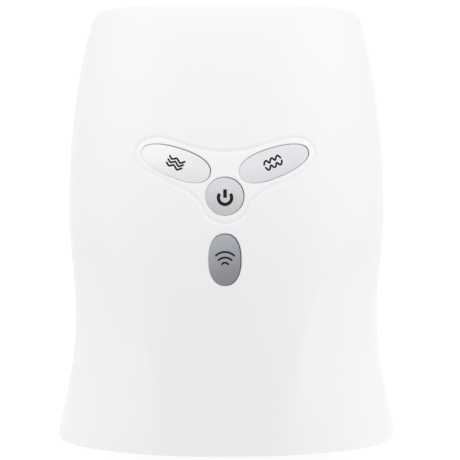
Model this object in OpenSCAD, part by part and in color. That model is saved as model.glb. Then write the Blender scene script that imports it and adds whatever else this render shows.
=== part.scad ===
// Hand massager with an air-pressure cavity, four keys, heat and vibration.
// +Y is the finger end, -Y the wrist mouth, +Z up.
// The origin is at the middle of the footprint, on the table.

/* [Outer body] */
// Length over all, wrist mouth to finger end
body_l = 210; // [204:1:222]
// Width over the flared wrist mouth
body_w = 156; // [153:1:166]
// Height from the table to the crown
body_h = 100; // [97:1:106]
// Width at the waist behind the keys
waist_w = 140.3; // [139:0.1:146]
// Width at the bulge beside the keys
bulge_w = 146.8; // [145:0.1:152]
// Width of the finger end
end_w = 123.2; // [121:0.1:128]
// Place of the waist along the length
waist_y = -39.5; // [-46:0.5:-34]
// Place of the bulge along the length
bulge_y = 9.3; // [4:0.1:14]
// How far the finger end bows out in the middle
end_bow = 3.6; // [2.6:0.1:4.6]
// Rounding between the finger end and the sides
end_round = 4; // [3:0.1:5]
// Height of the crown at the wrist mouth
mouth_crown = 94.5; // [92:0.5:97]
// Height of the crown at the finger end
end_crown = 74; // [71:0.5:78]
// Place of the highest point along the length
crown_y = 5; // [0:0.5:10]
// Lean of the mouth plane, forward at the top, per unit of height
mouth_lean = 0.21; // [0.16:0.01:0.24]
// Height of the parting line between cover and base
part_z = 42; // [40:0.5:44]
// Roundness exponent of the cover's section
cover_n = 2.5; // [2.4:0.1:2.8]
// Roundness exponent of the base's section
base_n = 5; // [4.8:0.1:6]
// Depth of the soft scoops on both sides of the wrist half
scoop_d = 3.4; // [1:0.1:4]
// Wall thickness of cover and base
wall = 2.4; // [2:0.1:2.8]

/* [Keys] */
// Length of the slanted keys
slant_key_l = 33.8; // [31:0.1:35]
// Width of the slanted keys
slant_key_w = 14.1; // [12:0.1:15]
// Tilt of the slanted keys
slant_key_tilt = 20; // [17:0.5:22]
// Distance of the slanted keys' middles from the centre line
slant_key_x = 22.75; // [22.4:0.05:23.5]
// Place of the slanted keys along the length
slant_key_y = 31.35; // [31:0.05:32]
// Diameter of the round power key
power_key_d = 18; // [15:0.1:18.6]
// Place of the power key along the length
power_key_y = 15.8; // [15:0.1:16.2]
// Width of the oval pressure key
oval_key_w = 15.2; // [13:0.1:17]
// Length of the oval pressure key
oval_key_l = 24.2; // [20:0.1:26]
// Place of the oval key along the length
oval_key_y = -13.6; // [-15:0.1:-12.5]
// How far the keys stand above the surface
key_proud = 0.9; // [0.6:0.1:1.2]
// How far a key travels when it is pressed
key_travel = 0.8; // [0.5:0.1:0.9]
// Gap round each key
key_gap = 0.3; // [0.2:0.05:0.4]
// Gap round the panel that holds the upper keys
panel_gap = 0.25; // [0.15:0.05:0.4]
// Width of the panel's flange under the cover
flange_w = 1.6; // [1.2:0.1:2]
// Thickness of the panel's flange
flange_t = 1.2; // [1:0.1:1.5]

/* [Hand cavity] */
// Width over the arch frame
frame_w = 121; // [119:0.5:122]
// Thickness of the arch frame
frame_t = 2; // [1.6:0.1:2.2]
// Height of the key bay, from the panel's lowest edge down to the arch frame
key_bay = 9.7; // [9.3:0.1:10.5]
// Distance from the mouth's side edge to the arch frame
mouth_setback = 14; // [13.5:0.5:16]
// Depth of the bay between the arch frame and the finger end
end_bay = 12.4; // [12:0.1:13.5]
// Thickness of the fabric lining
liner_t = 1.6; // [1.2:0.1:2]
// Height of the tray's top face
tray_z = 30; // [29:0.5:31]
// Thickness of the tray's plate
tray_t = 2; // [1.6:0.1:2.4]
// Depth of the palm well in the tray
well_depth = 10; // [9.5:0.5:11]
// Width of the palm well
well_w = 100; // [96:1:102]
// Length of the palm well
well_l = 96; // [90:1:98]
// Place of the palm well along the length, behind the tray's front edge
well_y = 10; // [8:0.5:12]
// Thickness of an empty air bag
bag_t = 2; // [1.4:0.1:2.2]
// Width of the ceiling pad
pad_w = 76; // [68:1:80]
// Length of the ceiling pad
pad_l = 112; // [100:1:114]
// Thickness of the ceiling pad
pad_t = 3.6; // [3:0.1:4.4]
// Thickness of the heating film
film_t = 0.4; // [0.3:0.1:0.6]
// Diameter of the massage nodules on the palm plate
nodule_d = 9; // [7:0.1:10]
// Height of the massage nodules
nodule_h = 2.4; // [1.6:0.1:3]
// Rows of nodules across the palm plate
nodule_rows = 5; // [3:1:6]
// Nodules in each row
nodule_cols = 5; // [3:1:6]

/* [Inner pieces] */
// Diameter of the rubber feet
foot_d = 14; // [11:0.5:16]
// Height that the feet hold the base off the table
foot_h = 2.5; // [2:0.1:3]
// Thickness of the circuit boards
board_t = 1.6; // [1:0.1:1.8]
// Side of the push switches
switch_w = 6; // [5:0.1:7]
// Height of the push switches' housings
switch_h = 3.5; // [3:0.1:4]
// Diameter of the push switches' plungers
plunger_d = 3.3; // [2.6:0.1:3.6]
// Width of the battery pack
battery_w = 50; // [40:1:51]
// Length of the battery pack
battery_l = 72; // [60:1:74]
// Thickness of the battery pack
battery_t = 9; // [7:0.5:9.5]
// Diameter of the pump's motor
pump_motor_d = 20; // [16:0.5:21]
// Length of the pump's motor
pump_motor_l = 30; // [24:1:32]
// Diameter of the pump's head
pump_head_d = 22; // [20:0.5:22]
// Length of the pump's head
pump_head_l = 24; // [20:1:26]
// Diameter of the motor shafts
shaft_d = 2; // [1.6:0.1:2.4]
// Radial clearance of a shaft in its bearing
shaft_gap = 0.05; // [0.03:0.01:0.09]
// Diameter of the vibration motors
buzz_d = 10; // [8:0.5:10.5]
// Length of the vibration motors
buzz_l = 20; // [16:1:22]
// Radius of the vibration motors' weights
weight_r = 4.6; // [3.4:0.1:4.8]
// Length of the vibration motors' weights
weight_l = 7; // [5:0.5:8]
// Outer diameter of the air hoses
hose_d = 4; // [3.2:0.1:4.4]
// Width of the charging socket's mouth
socket_w = 9; // [8:0.1:10]
// Height of the charging socket's mouth
socket_h = 3.3; // [3:0.1:3.6]
// Height of the charging socket above the table
socket_z = 21; // [18:0.5:24]
// Diameter of the case screws
screw_d = 2.5; // [2:0.1:2.8]
// Diameter of the case bosses
boss_d = 7.2; // [6.8:0.1:7.4]

/* [Hidden] */

// Seat gap between soft or loose pieces
seat_gap = 0.3;
// Clearance of flat parts that stand beside each other
side_gap = 0.5;

// Plan of the body: places of the finger end's and the mouth's side edges
end_y = body_l / 2 - end_bow;
mouth_y = -body_l / 2 + mouth_lean * (mouth_crown - part_z);
end_slope = -0.28;
flare_slope = -0.22;
crown_end_slope = -0.7;
bow_n = 4;
base_z = foot_h;
floor_z = base_z + wall;

// Facets of the skins
cover_stations = 20;
cover_turns = 28;
fillet_steps = 3;

function hermite(x0, v0, s0, x1, v1, s1, x) =
    let (span = x1 - x0, t = min(1, max(0, (x - x0) / span)))
    (2 * t * t * t - 3 * t * t + 1) * v0
    + (t * t * t - 2 * t * t + t) * span * s0
    + (3 * t * t - 2 * t * t * t) * v1
    + (t * t * t - t * t) * span * s1;

function smooth(t) = let (u = min(1, max(0, t))) u * u * (3 - 2 * u);

// Half width of the body along its length
function half_w(y) = y < waist_y
    ? hermite(mouth_y, body_w / 2, flare_slope, waist_y, waist_w / 2, 0, y)
    : y < bulge_y
    ? hermite(waist_y, waist_w / 2, 0, bulge_y, bulge_w / 2, 0, y)
    : hermite(bulge_y, bulge_w / 2, 0, end_y, end_w / 2, end_slope, y);

// Height of the crown line along the length
function crown(y) = y < crown_y
    ? hermite(mouth_y, mouth_crown, -0.02, crown_y, body_h, 0, y)
    : hermite(crown_y, body_h, 0, end_y, end_crown, crown_end_slope, y);

// Distance of the crease that bounds the side scoops from the centre line
function crease_x(y) = hermite(mouth_y, 33, 0, 0, 61.8, 0.85, y);

// Depth of the side scoops: nothing at the bulge, full behind the waist, faint at the mouth
function scoop(x, y, w) =
    let (c = crease_x(y), u = (abs(x) - c) / (w - c))
    u <= 0 || u >= 1 || y >= 0 ? 0
    : scoop_d * smooth(-y / 42) * (1 - 0.85 * smooth((-y - 46) / 48)) * sin(180 * u);

// Roundness of a section: the height share at a width share
function arch_share(u, n) = pow(max(0, 1 - pow(min(1, abs(u)), n)), 1 / n);

// Height of the cover's skin above a place, inset by d
function cover_z(x, y, d) =
    let (w = half_w(y) - d)
    part_z + (crown(y) - part_z - d) * arch_share(x / w, cover_n) - scoop(x, y, w);

// Height of the base's skin below the parting line, inset by d
function base_skin_z(x, y, d) =
    part_z - (part_z - base_z - d) * arch_share(x / (half_w(y) - d), base_n);

// The finger end bows out and the mouth leans: both fade out towards the middle
function bow(y) = end_bow * smooth((y - 50) / (end_y - 50));
function lean(y) = mouth_lean * smooth((y + 30) / (mouth_y + 30));

// One point of the skin: station y, turn a from +X, inset d, share f of the section, side 1 up or -1 down
function skin(y, a, d, f, side) =
    let (n = side > 0 ? cover_n : base_n,
        w = half_w(y) - d,
        h = side > 0 ? crown(y) - part_z - d : part_z - base_z - d,
        x = w * sign(cos(a)) * pow(abs(cos(a)), 2 / n),
        z = h * pow(abs(sin(a)), 2 / n) - (side > 0 ? scoop(x, y, w) : 0),
        xf = x * f,
        zf = z * f * side)
    [xf, y + bow(y) * (1 - pow(abs(xf) / half_w(y), bow_n)) - lean(y) * zf, part_z + zf];

// Stations as [y, inset, share]: the long run, the fillet, then the finger end's face
function stations(count, from, to, inset, round) = concat(
    [for (i = [0 : count]) [from + (to - round - from) * i / count, inset, 1]],
    [for (k = [1 : fillet_steps])
        let (q = 90 * k / fillet_steps)
        [to - round * (1 - sin(q)), inset + round * (1 - cos(q)), 1]],
    [for (f = [0.7, 0.35]) [to, inset + round, f]]);

function skin_rings(list, side, turns) =
    [for (s = list) [for (j = [0 : turns]) skin(s[0], 180 * j / turns, s[1], s[2], side)]];

// Thin half shell: open along its rim and at one end, closed by a tip at the other
module open_shell(outer, inner, tip_out, tip_in, flip) {
    n = len(outer);
    m = len(outer[0]);
    in = n * m + 1;
    tip_o = n * m;
    tip_i = in + n * m;
    function q(a, b, c, d) = [[a, b, c], [a, c, d]];
    faces = [
        for (i = [0 : n - 2], j = [0 : m - 2]) each concat(
            q(i * m + j, i * m + j + 1, (i + 1) * m + j + 1, (i + 1) * m + j),
            q(in + i * m + j, in + (i + 1) * m + j, in + (i + 1) * m + j + 1, in + i * m + j + 1)),
        for (j = [0 : m - 2]) each concat(
            [[(n - 1) * m + j, (n - 1) * m + j + 1, tip_o],
            [in + (n - 1) * m + j + 1, in + (n - 1) * m + j, tip_i]],
            q(j + 1, j, in + j, in + j + 1)),
        for (i = [0 : n - 2]) each concat(
            q(i * m, (i + 1) * m, in + (i + 1) * m, in + i * m),
            q((i + 1) * m + m - 1, i * m + m - 1, in + i * m + m - 1, in + (i + 1) * m + m - 1)),
        each q((n - 1) * m, tip_o, tip_i, in + (n - 1) * m),
        each q(tip_o, n * m - 1, in + n * m - 1, tip_i)];
    points = concat([for (r = outer) each r], [tip_out], [for (r = inner) each r], [tip_in]);
    polyhedron(points, flip ? [for (f = faces) [f[2], f[1], f[0]]] : faces);
}

// Closed solid from a stack of loops, top to bottom, with a tip point at both ends
module stack(loops, top, bottom) {
    n = len(loops);
    m = len(loops[0]);
    points = concat([for (r = loops) each r], [top, bottom]);
    faces = [
        for (i = [0 : n - 2], j = [0 : m - 1])
            let (k = (j + 1) % m)
            each [[i * m + j, i * m + k, (i + 1) * m + k], [i * m + j, (i + 1) * m + k, (i + 1) * m + j]],
        for (j = [0 : m - 1])
            let (k = (j + 1) % m)
            each [[n * m, k, j], [n * m + 1, (n - 1) * m + j, (n - 1) * m + k]]];
    polyhedron(points, faces);
}

// Closed ring from loops that follow each other round its section
module ring_of(loops) {
    n = len(loops);
    m = len(loops[0]);
    faces = [for (i = [0 : n - 1], j = [0 : m - 1])
        let (k = (j + 1) % m, i2 = (i + 1) % n)
        each [[i * m + j, i2 * m + k, i * m + k], [i * m + j, i2 * m + j, i2 * m + k]]];
    polyhedron([for (r = loops) each r], faces);
}

// Points along a smooth curve through hand-chosen points
function curve(p, steps) = concat(
    [for (i = [0 : len(p) - 2], k = [0 : steps - 1])
        let (t = k / steps,
            a = p[max(0, i - 1)], b = p[i], c = p[i + 1], d = p[min(len(p) - 1, i + 2)])
        0.5 * (2 * b + (c - a) * t + (2 * a - 5 * b + 4 * c - d) * t * t
            + (3 * b - a - 3 * c + d) * t * t * t)],
    [p[len(p) - 1]]);

function unit(v) = v / norm(v);
function heading(p, i) = unit(p[min(len(p) - 1, i + 1)] - p[max(0, i - 1)]);

// Tube or flat lead along a curve, with half sizes a and b of its section
module sweep(p, a, b, sides, first) {
    function frame_at(i, s) = i == 0 ? s
        : let (h = heading(p, i), v = frame_at(i - 1, s)) unit(v - (v * h) * h);
    loops = [for (i = [0 : len(p) - 1])
        let (h = heading(p, i), u = frame_at(i, first), v = cross(h, u))
        [for (j = [0 : sides - 1])
            let (q = 360 * (j + 0.5) / sides)
            p[i] + a * cos(q) * u + b * sin(q) * v]];
    n = len(p);
    m = sides;
    faces = [
        for (i = [0 : n - 2], j = [0 : m - 1])
            let (k = (j + 1) % m)
            each [[i * m + j, (i + 1) * m + k, i * m + k], [i * m + j, (i + 1) * m + j, (i + 1) * m + k]],
        for (j = [1 : m - 2]) [0, j, j + 1],
        for (j = [1 : m - 2]) [(n - 1) * m, (n - 1) * m + j + 1, (n - 1) * m + j]];
    polyhedron([for (r = loops) each r], faces);
}

// Outlines of the keys, seen from above
function oval(c, a, b, n, fuller, tilt, count) =
    [for (i = [0 : count - 1])
        let (q = 360 * i / count,
            u = a * sign(cos(q)) * pow(abs(cos(q)), 2 / n),
            v = b * sign(sin(q)) * pow(abs(sin(q)), 2 / n) * (1 + fuller * u / a))
        [c[0] + u * cos(tilt) - v * sin(tilt), c[1] + u * sin(tilt) + v * cos(tilt)]];

oval_steps = 32;
key_n = 2.3;
egg_full = 0.10;
function left_key(grow) = oval([-slant_key_x, slant_key_y], slant_key_l / 2 + grow,
    slant_key_w / 2 + grow, key_n, egg_full, -slant_key_tilt, oval_steps);
function mirrored(p) = [for (i = [len(p) - 1 : -1 : 0]) [-p[i][0], p[i][1]]];
function right_key(grow) = mirrored(left_key(grow));
function oval_key(grow) = oval([0, oval_key_y], oval_key_w / 2 + grow, oval_key_l / 2 + grow,
    key_n, 0, 0, oval_steps);

// Left half of the panel's outline, from the top middle round the arm to the bottom middle,
// as margins round the keys that it holds
arm_x = slant_key_x + slant_key_l / 2 * cos(slant_key_tilt);
arm_y = slant_key_y + slant_key_l / 2 * sin(slant_key_tilt);
panel_half = [[-9.8, slant_key_y + 6.3], [-18.5, slant_key_y + 8.6], [-arm_x + 9.1, arm_y + 5.7],
    [-arm_x + 1.6, arm_y + 4.7], [-arm_x - 2.5, arm_y - 0.1], [-arm_x - 0.4, arm_y - 6.7],
    [-arm_x + 9.2, arm_y - 13.5], [-19.3, power_key_y + 2.8], [-13, power_key_y - 2.8],
    [-8.3, power_key_y - 10.1]];
panel_top = slant_key_y + 5.45;
panel_bottom = power_key_y - power_key_d / 2 - 3.6;
panel_knots = concat([[0, panel_top]], panel_half, [[0, panel_bottom]], mirrored(panel_half));
panel_steps = 3;
function looped(p, steps) =
    let (n = len(p))
    [for (i = [0 : n - 1], k = [0 : steps - 1])
        let (t = k / steps, a = p[(i + n - 1) % n], b = p[i], c = p[(i + 1) % n], d = p[(i + 2) % n])
        0.5 * (2 * b + (c - a) * t + (2 * a - 5 * b + 4 * c - d) * t * t
            + (3 * b - a - 3 * c + d) * t * t * t)];
panel_line = looped(panel_knots, panel_steps);
function outward(p, i) =
    let (n = len(p), t = unit(p[(i + 1) % n] - p[(i + n - 1) % n])) [-t[1], t[0]];
function grown(p, d) = [for (i = [0 : len(p) - 1]) p[i] - d * outward(p, i)];
panel_mid = [0, slant_key_y - 7];

// A loop laid on the cover's skin: share f towards c, inset d into the wall, dropped by z
function laid(p, c, f, d, drop) = [for (q = p)
    let (x = c[0] + (q[0] - c[0]) * f, y = c[1] + (q[1] - c[1]) * f)
    [x, y, cover_z(x, y, d) - drop]];
function level(p, c, f, z) = [for (q = p) [c[0] + (q[0] - c[0]) * f, c[1] + (q[1] - c[1]) * f, z]];

// Arch of the hand cavity: frame and lining share its shape at different insets
arch_y0 = mouth_y + mouth_setback;
arch_y1 = end_y - end_bay;
arm_low = cover_z(arm_x + flange_w, arm_y, wall) - seat_gap - flange_t;
arch_top = arm_low - key_bay;
arch_level_y = 45;
arch_n = 5;
arch_end_drop = 13.6;
arch_end_in = 5.5;
function arch_half(y) = hermite(arch_level_y, frame_w / 2, 0, arch_y1, frame_w / 2 - arch_end_in, -0.2, y);
function arch_height(y) = hermite(arch_level_y, arch_top, 0, arch_y1, arch_top - arch_end_drop, -0.6, y);
function arch_z(x, y, d) =
    tray_z + (arch_height(y) - tray_z - d) * arch_share(x / (arch_half(y) - d), arch_n);
function arch_point(y, a, d, f) =
    let (x = (arch_half(y) - d) * sign(cos(a)) * pow(abs(cos(a)), 2 / arch_n) * f,
        z = (arch_height(y) - tray_z - d) * pow(abs(sin(a)), 2 / arch_n) * f)
    [x, y, tray_z + z];
arch_turns = 18;
arch_round = 5;
function arch_rings(d, y1) = [for (s = stations(7, arch_y0, y1, d, arch_round))
    [for (j = [0 : arch_turns]) arch_point(s[0], 180 * j / arch_turns, s[1], s[2])]];
liner_in = frame_t + seat_gap;
cavity_in = liner_in + liner_t;

// Heights of the ceiling's layers, from the lining down
bag_top = arch_top - cavity_in - seat_gap;
film_top = bag_top - bag_t - seat_gap;
pad_top = film_top - film_t;
pad_y = arch_y0 + 62;
bag_w = pad_w - 8;
bag_l = pad_l - 8;

// Tray, palm well and what lies in it
well_floor = tray_z - well_depth;
well_mid = arch_y0 + well_y + well_l / 2;
well_wall = 2;
tray_w = frame_w + 11.8;
tray_end_w = frame_w - 2 * arch_end_in + 7;
palm_w = well_w - 2 * side_gap;
palm_l = well_l - 2 * side_gap;
palm_bag_w = well_w - 8;
palm_bag_l = well_l - 8;
palm_bag_z = well_floor + seat_gap;
palm_z = palm_bag_z + bag_t + seat_gap;
palm_top = tray_z - side_gap;

// Places of bosses, posts and screws
boss_r = boss_d / 2;
boss_in = wall + boss_r;
boss_places = [for (s = [-1, 1]) each [[s * (frame_w / 2 + boss_r + 3.9), mouth_y + 17],
    [s * (bulge_w / 2 - boss_in - 1.1), bulge_y],
    [s * (end_w / 2 - boss_in - 9.6), end_y - 7.6]]];
// A boss ends inside the cover's wall, above its outer edge
function boss_top(b) =
    let (x = abs(b[0]) + 0.7 * boss_r, y = b[1] + (b[1] > bulge_y + 20 ? 0.7 * boss_r : 0))
    cover_z(x, y - bow(y) * (1 - pow(x / half_w(y), bow_n)), wall / 2);
function boss_foot(b, r) = base_skin_z(abs(b[0]) + 0.7 * r, b[1], wall / 2);
head_seat_z = part_z - 10;
pilot_r = screw_d / 2 + 0.05;
head_r = 2.5;
head_h = 2;
screw_end_z = part_z + 9;
post_places = [for (s = [-1, 1], y = [arch_y0 + 50, arch_y1 - 55]) [s * (frame_w / 2 + 3.5), y]];
post_r = 2.6;
foot_places = [for (s = [-1, 1]) each [[s * (body_w / 2 - 34), mouth_y + 32],
    [s * (end_w / 2 - 21.6), end_y - 27.4]]];
foot_sink = 1;
foot_pad = 1.5;
lug_t = 2;
small_screw_r = 0.9;

// Key board on its stand-offs
standoff_h = 1.8;
board_z = arch_top + standoff_h;
switch_z = board_z + board_t;
board_w = 56;
board_y0 = oval_key_y - 10.4;
board_y1 = slant_key_y + 6.65;
board_hole_in = 3.5;
board_holes = [for (s = [-1, 1], y = [board_y0 + board_hole_in, slant_key_y - 9.5])
    [s * (board_w / 2 - board_hole_in), y]];
plunger_rise = 0.8;
plunger_top = switch_z + switch_h + plunger_rise;
plunger_sink = 1;
well_clear = 0.1;
key_places = [[0, power_key_y], [-slant_key_x, slant_key_y], [slant_key_x, slant_key_y], [0, oval_key_y]];
stem_r = 2;
// The keys' flanges lie level under the lowest point of the shell or panel above them
slant_flange_z = arm_low - seat_gap;
power_reach = power_key_d / 2 + 1.4;
power_flange_z = cover_z(power_reach, power_key_y + power_reach, wall) - 2 * seat_gap - flange_t;
oval_flange_z = cover_z(oval_key_w / 2 + flange_w, oval_key_y - oval_key_l / 2 - flange_w, wall) - seat_gap;
key_lip = 1;
key_lip_t = 0.8;
// Heights between which the keys' and the panel's openings are cut
cut_z = part_z + 20;
cut_top = body_h + 5;

// Charging socket's board, on two posts of the base
socket_board_z = socket_z - socket_h / 2 - board_t;
socket_post_x = 7;

// Pump, valves and motors in the base
pump_y = arch_y1 - 23;
pump_x = -end_w / 2 + 17.6;
pump_mid = pump_x + pump_motor_l;
pump_end = pump_mid + pump_head_l;
pump_r = pump_head_d / 2;
pump_z = floor_z + 0.6 + pump_r;
crank_r = 6;
crank_off = 1.4;
valve_w = 11;
valve_places = [[pump_end + 15, pump_y], [pump_end + 31, pump_y]];
valve_out = pump_y - valve_w / 2 - 0.2;
valve_z = base_skin_z(valve_places[1][0] + valve_w / 2, pump_y, wall) + seat_gap;
buzz_x = well_w / 2 + well_wall + buzz_d / 2 + side_gap;
buzz_z = floor_z + 12.1;
buzz_y = arch_y0 + 14;
bracket_w = 6;
bracket_z = base_skin_z(buzz_x + bracket_w / 2, buzz_y + buzz_l / 2, wall) + seat_gap;

module extruded(points, z0, z1) {
    translate([0, 0, z0]) linear_extrude(height = z1 - z0) polygon(points);
}

module post(x, y, z0, z1, r) {
    translate([x, y, z0]) cylinder(r = r, h = z1 - z0, $fn = 32);
}

module block(x0, x1, y0, y1, z0, z1) {
    translate([x0, y0, z0]) cube([x1 - x0, y1 - y0, z1 - z0]);
}

// Half shell of the body: side 1 is the cover, -1 the base
module half_body(side) {
    inner_round = max(1.2, end_round - wall);
    open_shell(
        skin_rings(stations(cover_stations, mouth_y, end_y, 0, end_round), side, cover_turns),
        skin_rings(stations(cover_stations, mouth_y, end_y - wall, wall, inner_round), side, cover_turns),
        [0, end_y + bow(end_y), part_z],
        [0, end_y - wall + bow(end_y - wall), part_z],
        side < 0);
}

module top_cover() {
    color("whitesmoke") difference() {
        union() {
            half_body(1);
            for (b = boss_places) post(b[0], b[1], part_z, boss_top(b), boss_r);
        }
        extruded(grown(panel_line, panel_gap), cut_z, cut_top);
        extruded(oval_key(key_gap), cut_z, cut_top);
        for (b = boss_places) post(b[0], b[1], part_z - 1, screw_end_z + 1, pilot_r);
    }
}

module base_shell() {
    color("whitesmoke") difference() {
        union() {
            half_body(-1);
            for (b = boss_places) post(b[0], b[1], boss_foot(b, boss_r), part_z, boss_r);
            for (p = post_places) post(p[0], p[1], boss_foot(p, post_r), tray_z - tray_t, post_r);
            for (s = [-1, 1]) post(s * socket_post_x, arch_y1 + 6, floor_z - 1, socket_board_z, 2.2);
            for (f = foot_places) post(f[0], f[1], base_z, floor_z + 0.6, foot_d / 2 + foot_pad);
        }
        for (b = boss_places) post(b[0], b[1], -1, head_seat_z, head_r + 0.3);
        for (b = boss_places) post(b[0], b[1], 0, part_z + 1, pilot_r + 0.2);
        for (p = post_places) post(p[0], p[1], tray_z - tray_t - 8, tray_z, small_screw_r + 0.05);
        for (f = foot_places) post(f[0], f[1], -1, base_z + foot_sink, foot_d / 2 + 0.1);
        socket_slot(socket_w + 0.6, socket_h + 0.6, end_y - 8, end_y + 10);
    }
}

// Slot with round ends along Y
module socket_slot(w, h, y0, y1) {
    translate([0, y0, socket_z]) rotate([-90, 0, 0]) linear_extrude(height = y1 - y0) union() {
        square([w - h, h], center = true);
        for (s = [-1, 1]) translate([s * (w - h) / 2, 0]) circle(d = h, $fn = 32);
    }
}

module button_panel() {
    edge = 0.8;
    wide = grown(panel_line, flange_w);
    color("white") difference() {
        stack([
            laid(panel_line, panel_mid, 0.5, 0, 0),
            laid(grown(panel_line, -edge), panel_mid, 1, 0, 0),
            laid(panel_line, panel_mid, 1, 0, edge * 0.8),
            laid(panel_line, panel_mid, 1, wall, seat_gap),
            laid(wide, panel_mid, 1, wall, seat_gap),
            laid(wide, panel_mid, 1, wall, seat_gap + flange_t),
            laid(wide, panel_mid, 0.5, wall, seat_gap + flange_t)],
            [0, panel_mid[1], cover_z(0, panel_mid[1], 0)],
            [0, panel_mid[1], cover_z(0, panel_mid[1], wall) - seat_gap - flange_t]);
        extruded(left_key(key_gap), cut_z, cut_top);
        extruded(right_key(key_gap), cut_z, cut_top);
        post(0, power_key_y, cut_z, cut_top, power_key_d / 2 + key_gap);
    }
}

// A key's cap follows the skin, with a rounded edge; its lip and stem are below
module shaped_key(outline, lip, mid, lip_z) {
    stack([
        laid(outline, mid, 0.45, 0, -key_proud - 0.25),
        laid(outline, mid, 0.86, 0, -key_proud),
        laid(outline, mid, 0.96, 0, -key_proud + 0.25),
        laid(outline, mid, 1, 0, -key_proud + 0.8),
        level(outline, mid, 1, lip_z - 0.4)],
        [mid[0], mid[1], cover_z(mid[0], mid[1], 0) + key_proud + 0.3],
        [mid[0], mid[1], lip_z - 0.4]);
    extruded(lip, lip_z - key_lip_t, lip_z);
    post(mid[0], mid[1], plunger_top, lip_z - 0.2, stem_r);
}

module power_key() {
    r = power_key_d / 2;
    top = cover_z(0, power_key_y, 0) + key_proud;
    color("silver") translate([0, power_key_y, 0]) rotate_extrude($fn = 64) polygon([
        [0, plunger_top], [stem_r, plunger_top], [stem_r, power_flange_z - key_lip_t],
        [r + key_lip, power_flange_z - key_lip_t], [r + key_lip, power_flange_z], [r, power_flange_z],
        [r, top - 0.8], [r - 0.25, top - 0.3], [r - 0.9, top], [r / 2, top + 0.25], [0, top + 0.3]]);
}

module vibration_key() {
    color("gainsboro") shaped_key(left_key(0), left_key(key_lip), key_places[1], slant_flange_z);
}

module wave_key() {
    color("lightsteelblue") shaped_key(right_key(0), right_key(key_lip), key_places[2], slant_flange_z);
}

module pressure_key() {
    color("slategray") shaped_key(oval_key(0), oval_key(key_lip), key_places[3], oval_flange_z);
}

module plunger(i) {
    color("dimgray") post(key_places[i][0], key_places[i][1],
        switch_z + switch_h - plunger_sink, plunger_top, plunger_d / 2);
}

module power_plunger() { plunger(0); }
module vibration_plunger() { plunger(1); }
module wave_plunger() { plunger(2); }
module pressure_plunger() { plunger(3); }

module push_switches() {
    color("black") for (k = key_places) difference() {
        block(k[0] - switch_w / 2, k[0] + switch_w / 2, k[1] - switch_w / 2, k[1] + switch_w / 2,
            switch_z, switch_z + switch_h);
        post(k[0], k[1], switch_z + switch_h - plunger_sink - key_travel - 0.3, switch_z + switch_h + 1,
            plunger_d / 2 + well_clear);
    }
}

module key_board() {
    color("darkgreen") difference() {
        block(-board_w / 2, board_w / 2, board_y0, board_y1, board_z, board_z + board_t);
        for (h = board_holes) post(h[0], h[1], board_z - 1, board_z + board_t + 1, small_screw_r + 0.2);
    }
}

module key_board_screws() {
    color("silver") for (h = board_holes) {
        post(h[0], h[1], board_z - standoff_h + 0.2, board_z + board_t + 0.1, small_screw_r);
        post(h[0], h[1], board_z + board_t, board_z + board_t + 1.4, small_screw_r * 2);
    }
}

// Trim ring between the body's mouth and the hand cavity
module mouth_bezel() {
    count = 48;
    depth = 2;
    rim = 2;
    function outer_at(j, back) =
        let (q = 360 * j / count, y = mouth_y + rim + back)
        q <= 180 ? skin(y, q, wall + seat_gap, 1, 1) : skin(y, 360 - q, wall + seat_gap, 1, -1);
    function inner_at(j, back) =
        let (q = 360 * j / count, p = q <= 180 ? arch_point(arch_y0, q, cavity_in, 1)
            : [-(arch_half(arch_y0) - cavity_in) * cos(q - 180), arch_y0, tray_z - 0.6 * sin(q - 180)])
        p + [0, -seat_gap - depth + back, 0];
    loop = [0 : count - 1];
    color("darkgray") ring_of([
        [for (j = loop) outer_at(j, 0)],
        [for (j = loop) inner_at(j, 0)],
        [for (j = loop) inner_at(j, depth)],
        [for (j = loop) outer_at(j, depth)]]);
}

module upper_frame() {
    color("lightgray") difference() {
        union() {
            open_shell(arch_rings(0, arch_y1), arch_rings(frame_t, arch_y1 - frame_t),
                [0, arch_y1, tray_z], [0, arch_y1 - frame_t, tray_z], false);
            for (p = post_places) block(min(sign(p[0]) * (frame_w / 2 - 1), p[0] + sign(p[0]) * 2.6),
                max(sign(p[0]) * (frame_w / 2 - 1), p[0] + sign(p[0]) * 2.6),
                p[1] - 4, p[1] + 4, tray_z, tray_z + lug_t);
            for (h = board_holes) post(h[0], h[1], arch_z(abs(h[0]), h[1], 1), board_z, 2.2);
        }
        for (p = post_places) post(p[0], p[1], tray_z - 1, tray_z + lug_t + 1, small_screw_r + 0.2);
        for (h = board_holes) post(h[0], h[1], board_z - standoff_h, board_z + 1, small_screw_r + 0.05);
        post(hose_hole[0], hose_hole[1], arch_top - 6, arch_top + 2, hose_d / 2 + 0.4);
    }
}

module hand_liner() {
    color("dimgray") difference() {
        open_shell(arch_rings(liner_in, arch_y1 - liner_in), arch_rings(cavity_in, arch_y1 - cavity_in),
            [0, arch_y1 - liner_in, tray_z], [0, arch_y1 - cavity_in, tray_z], false);
        post(hose_hole[0], hose_hole[1], arch_top - 8, arch_top, hose_d / 2 + 0.4);
    }
}

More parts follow.
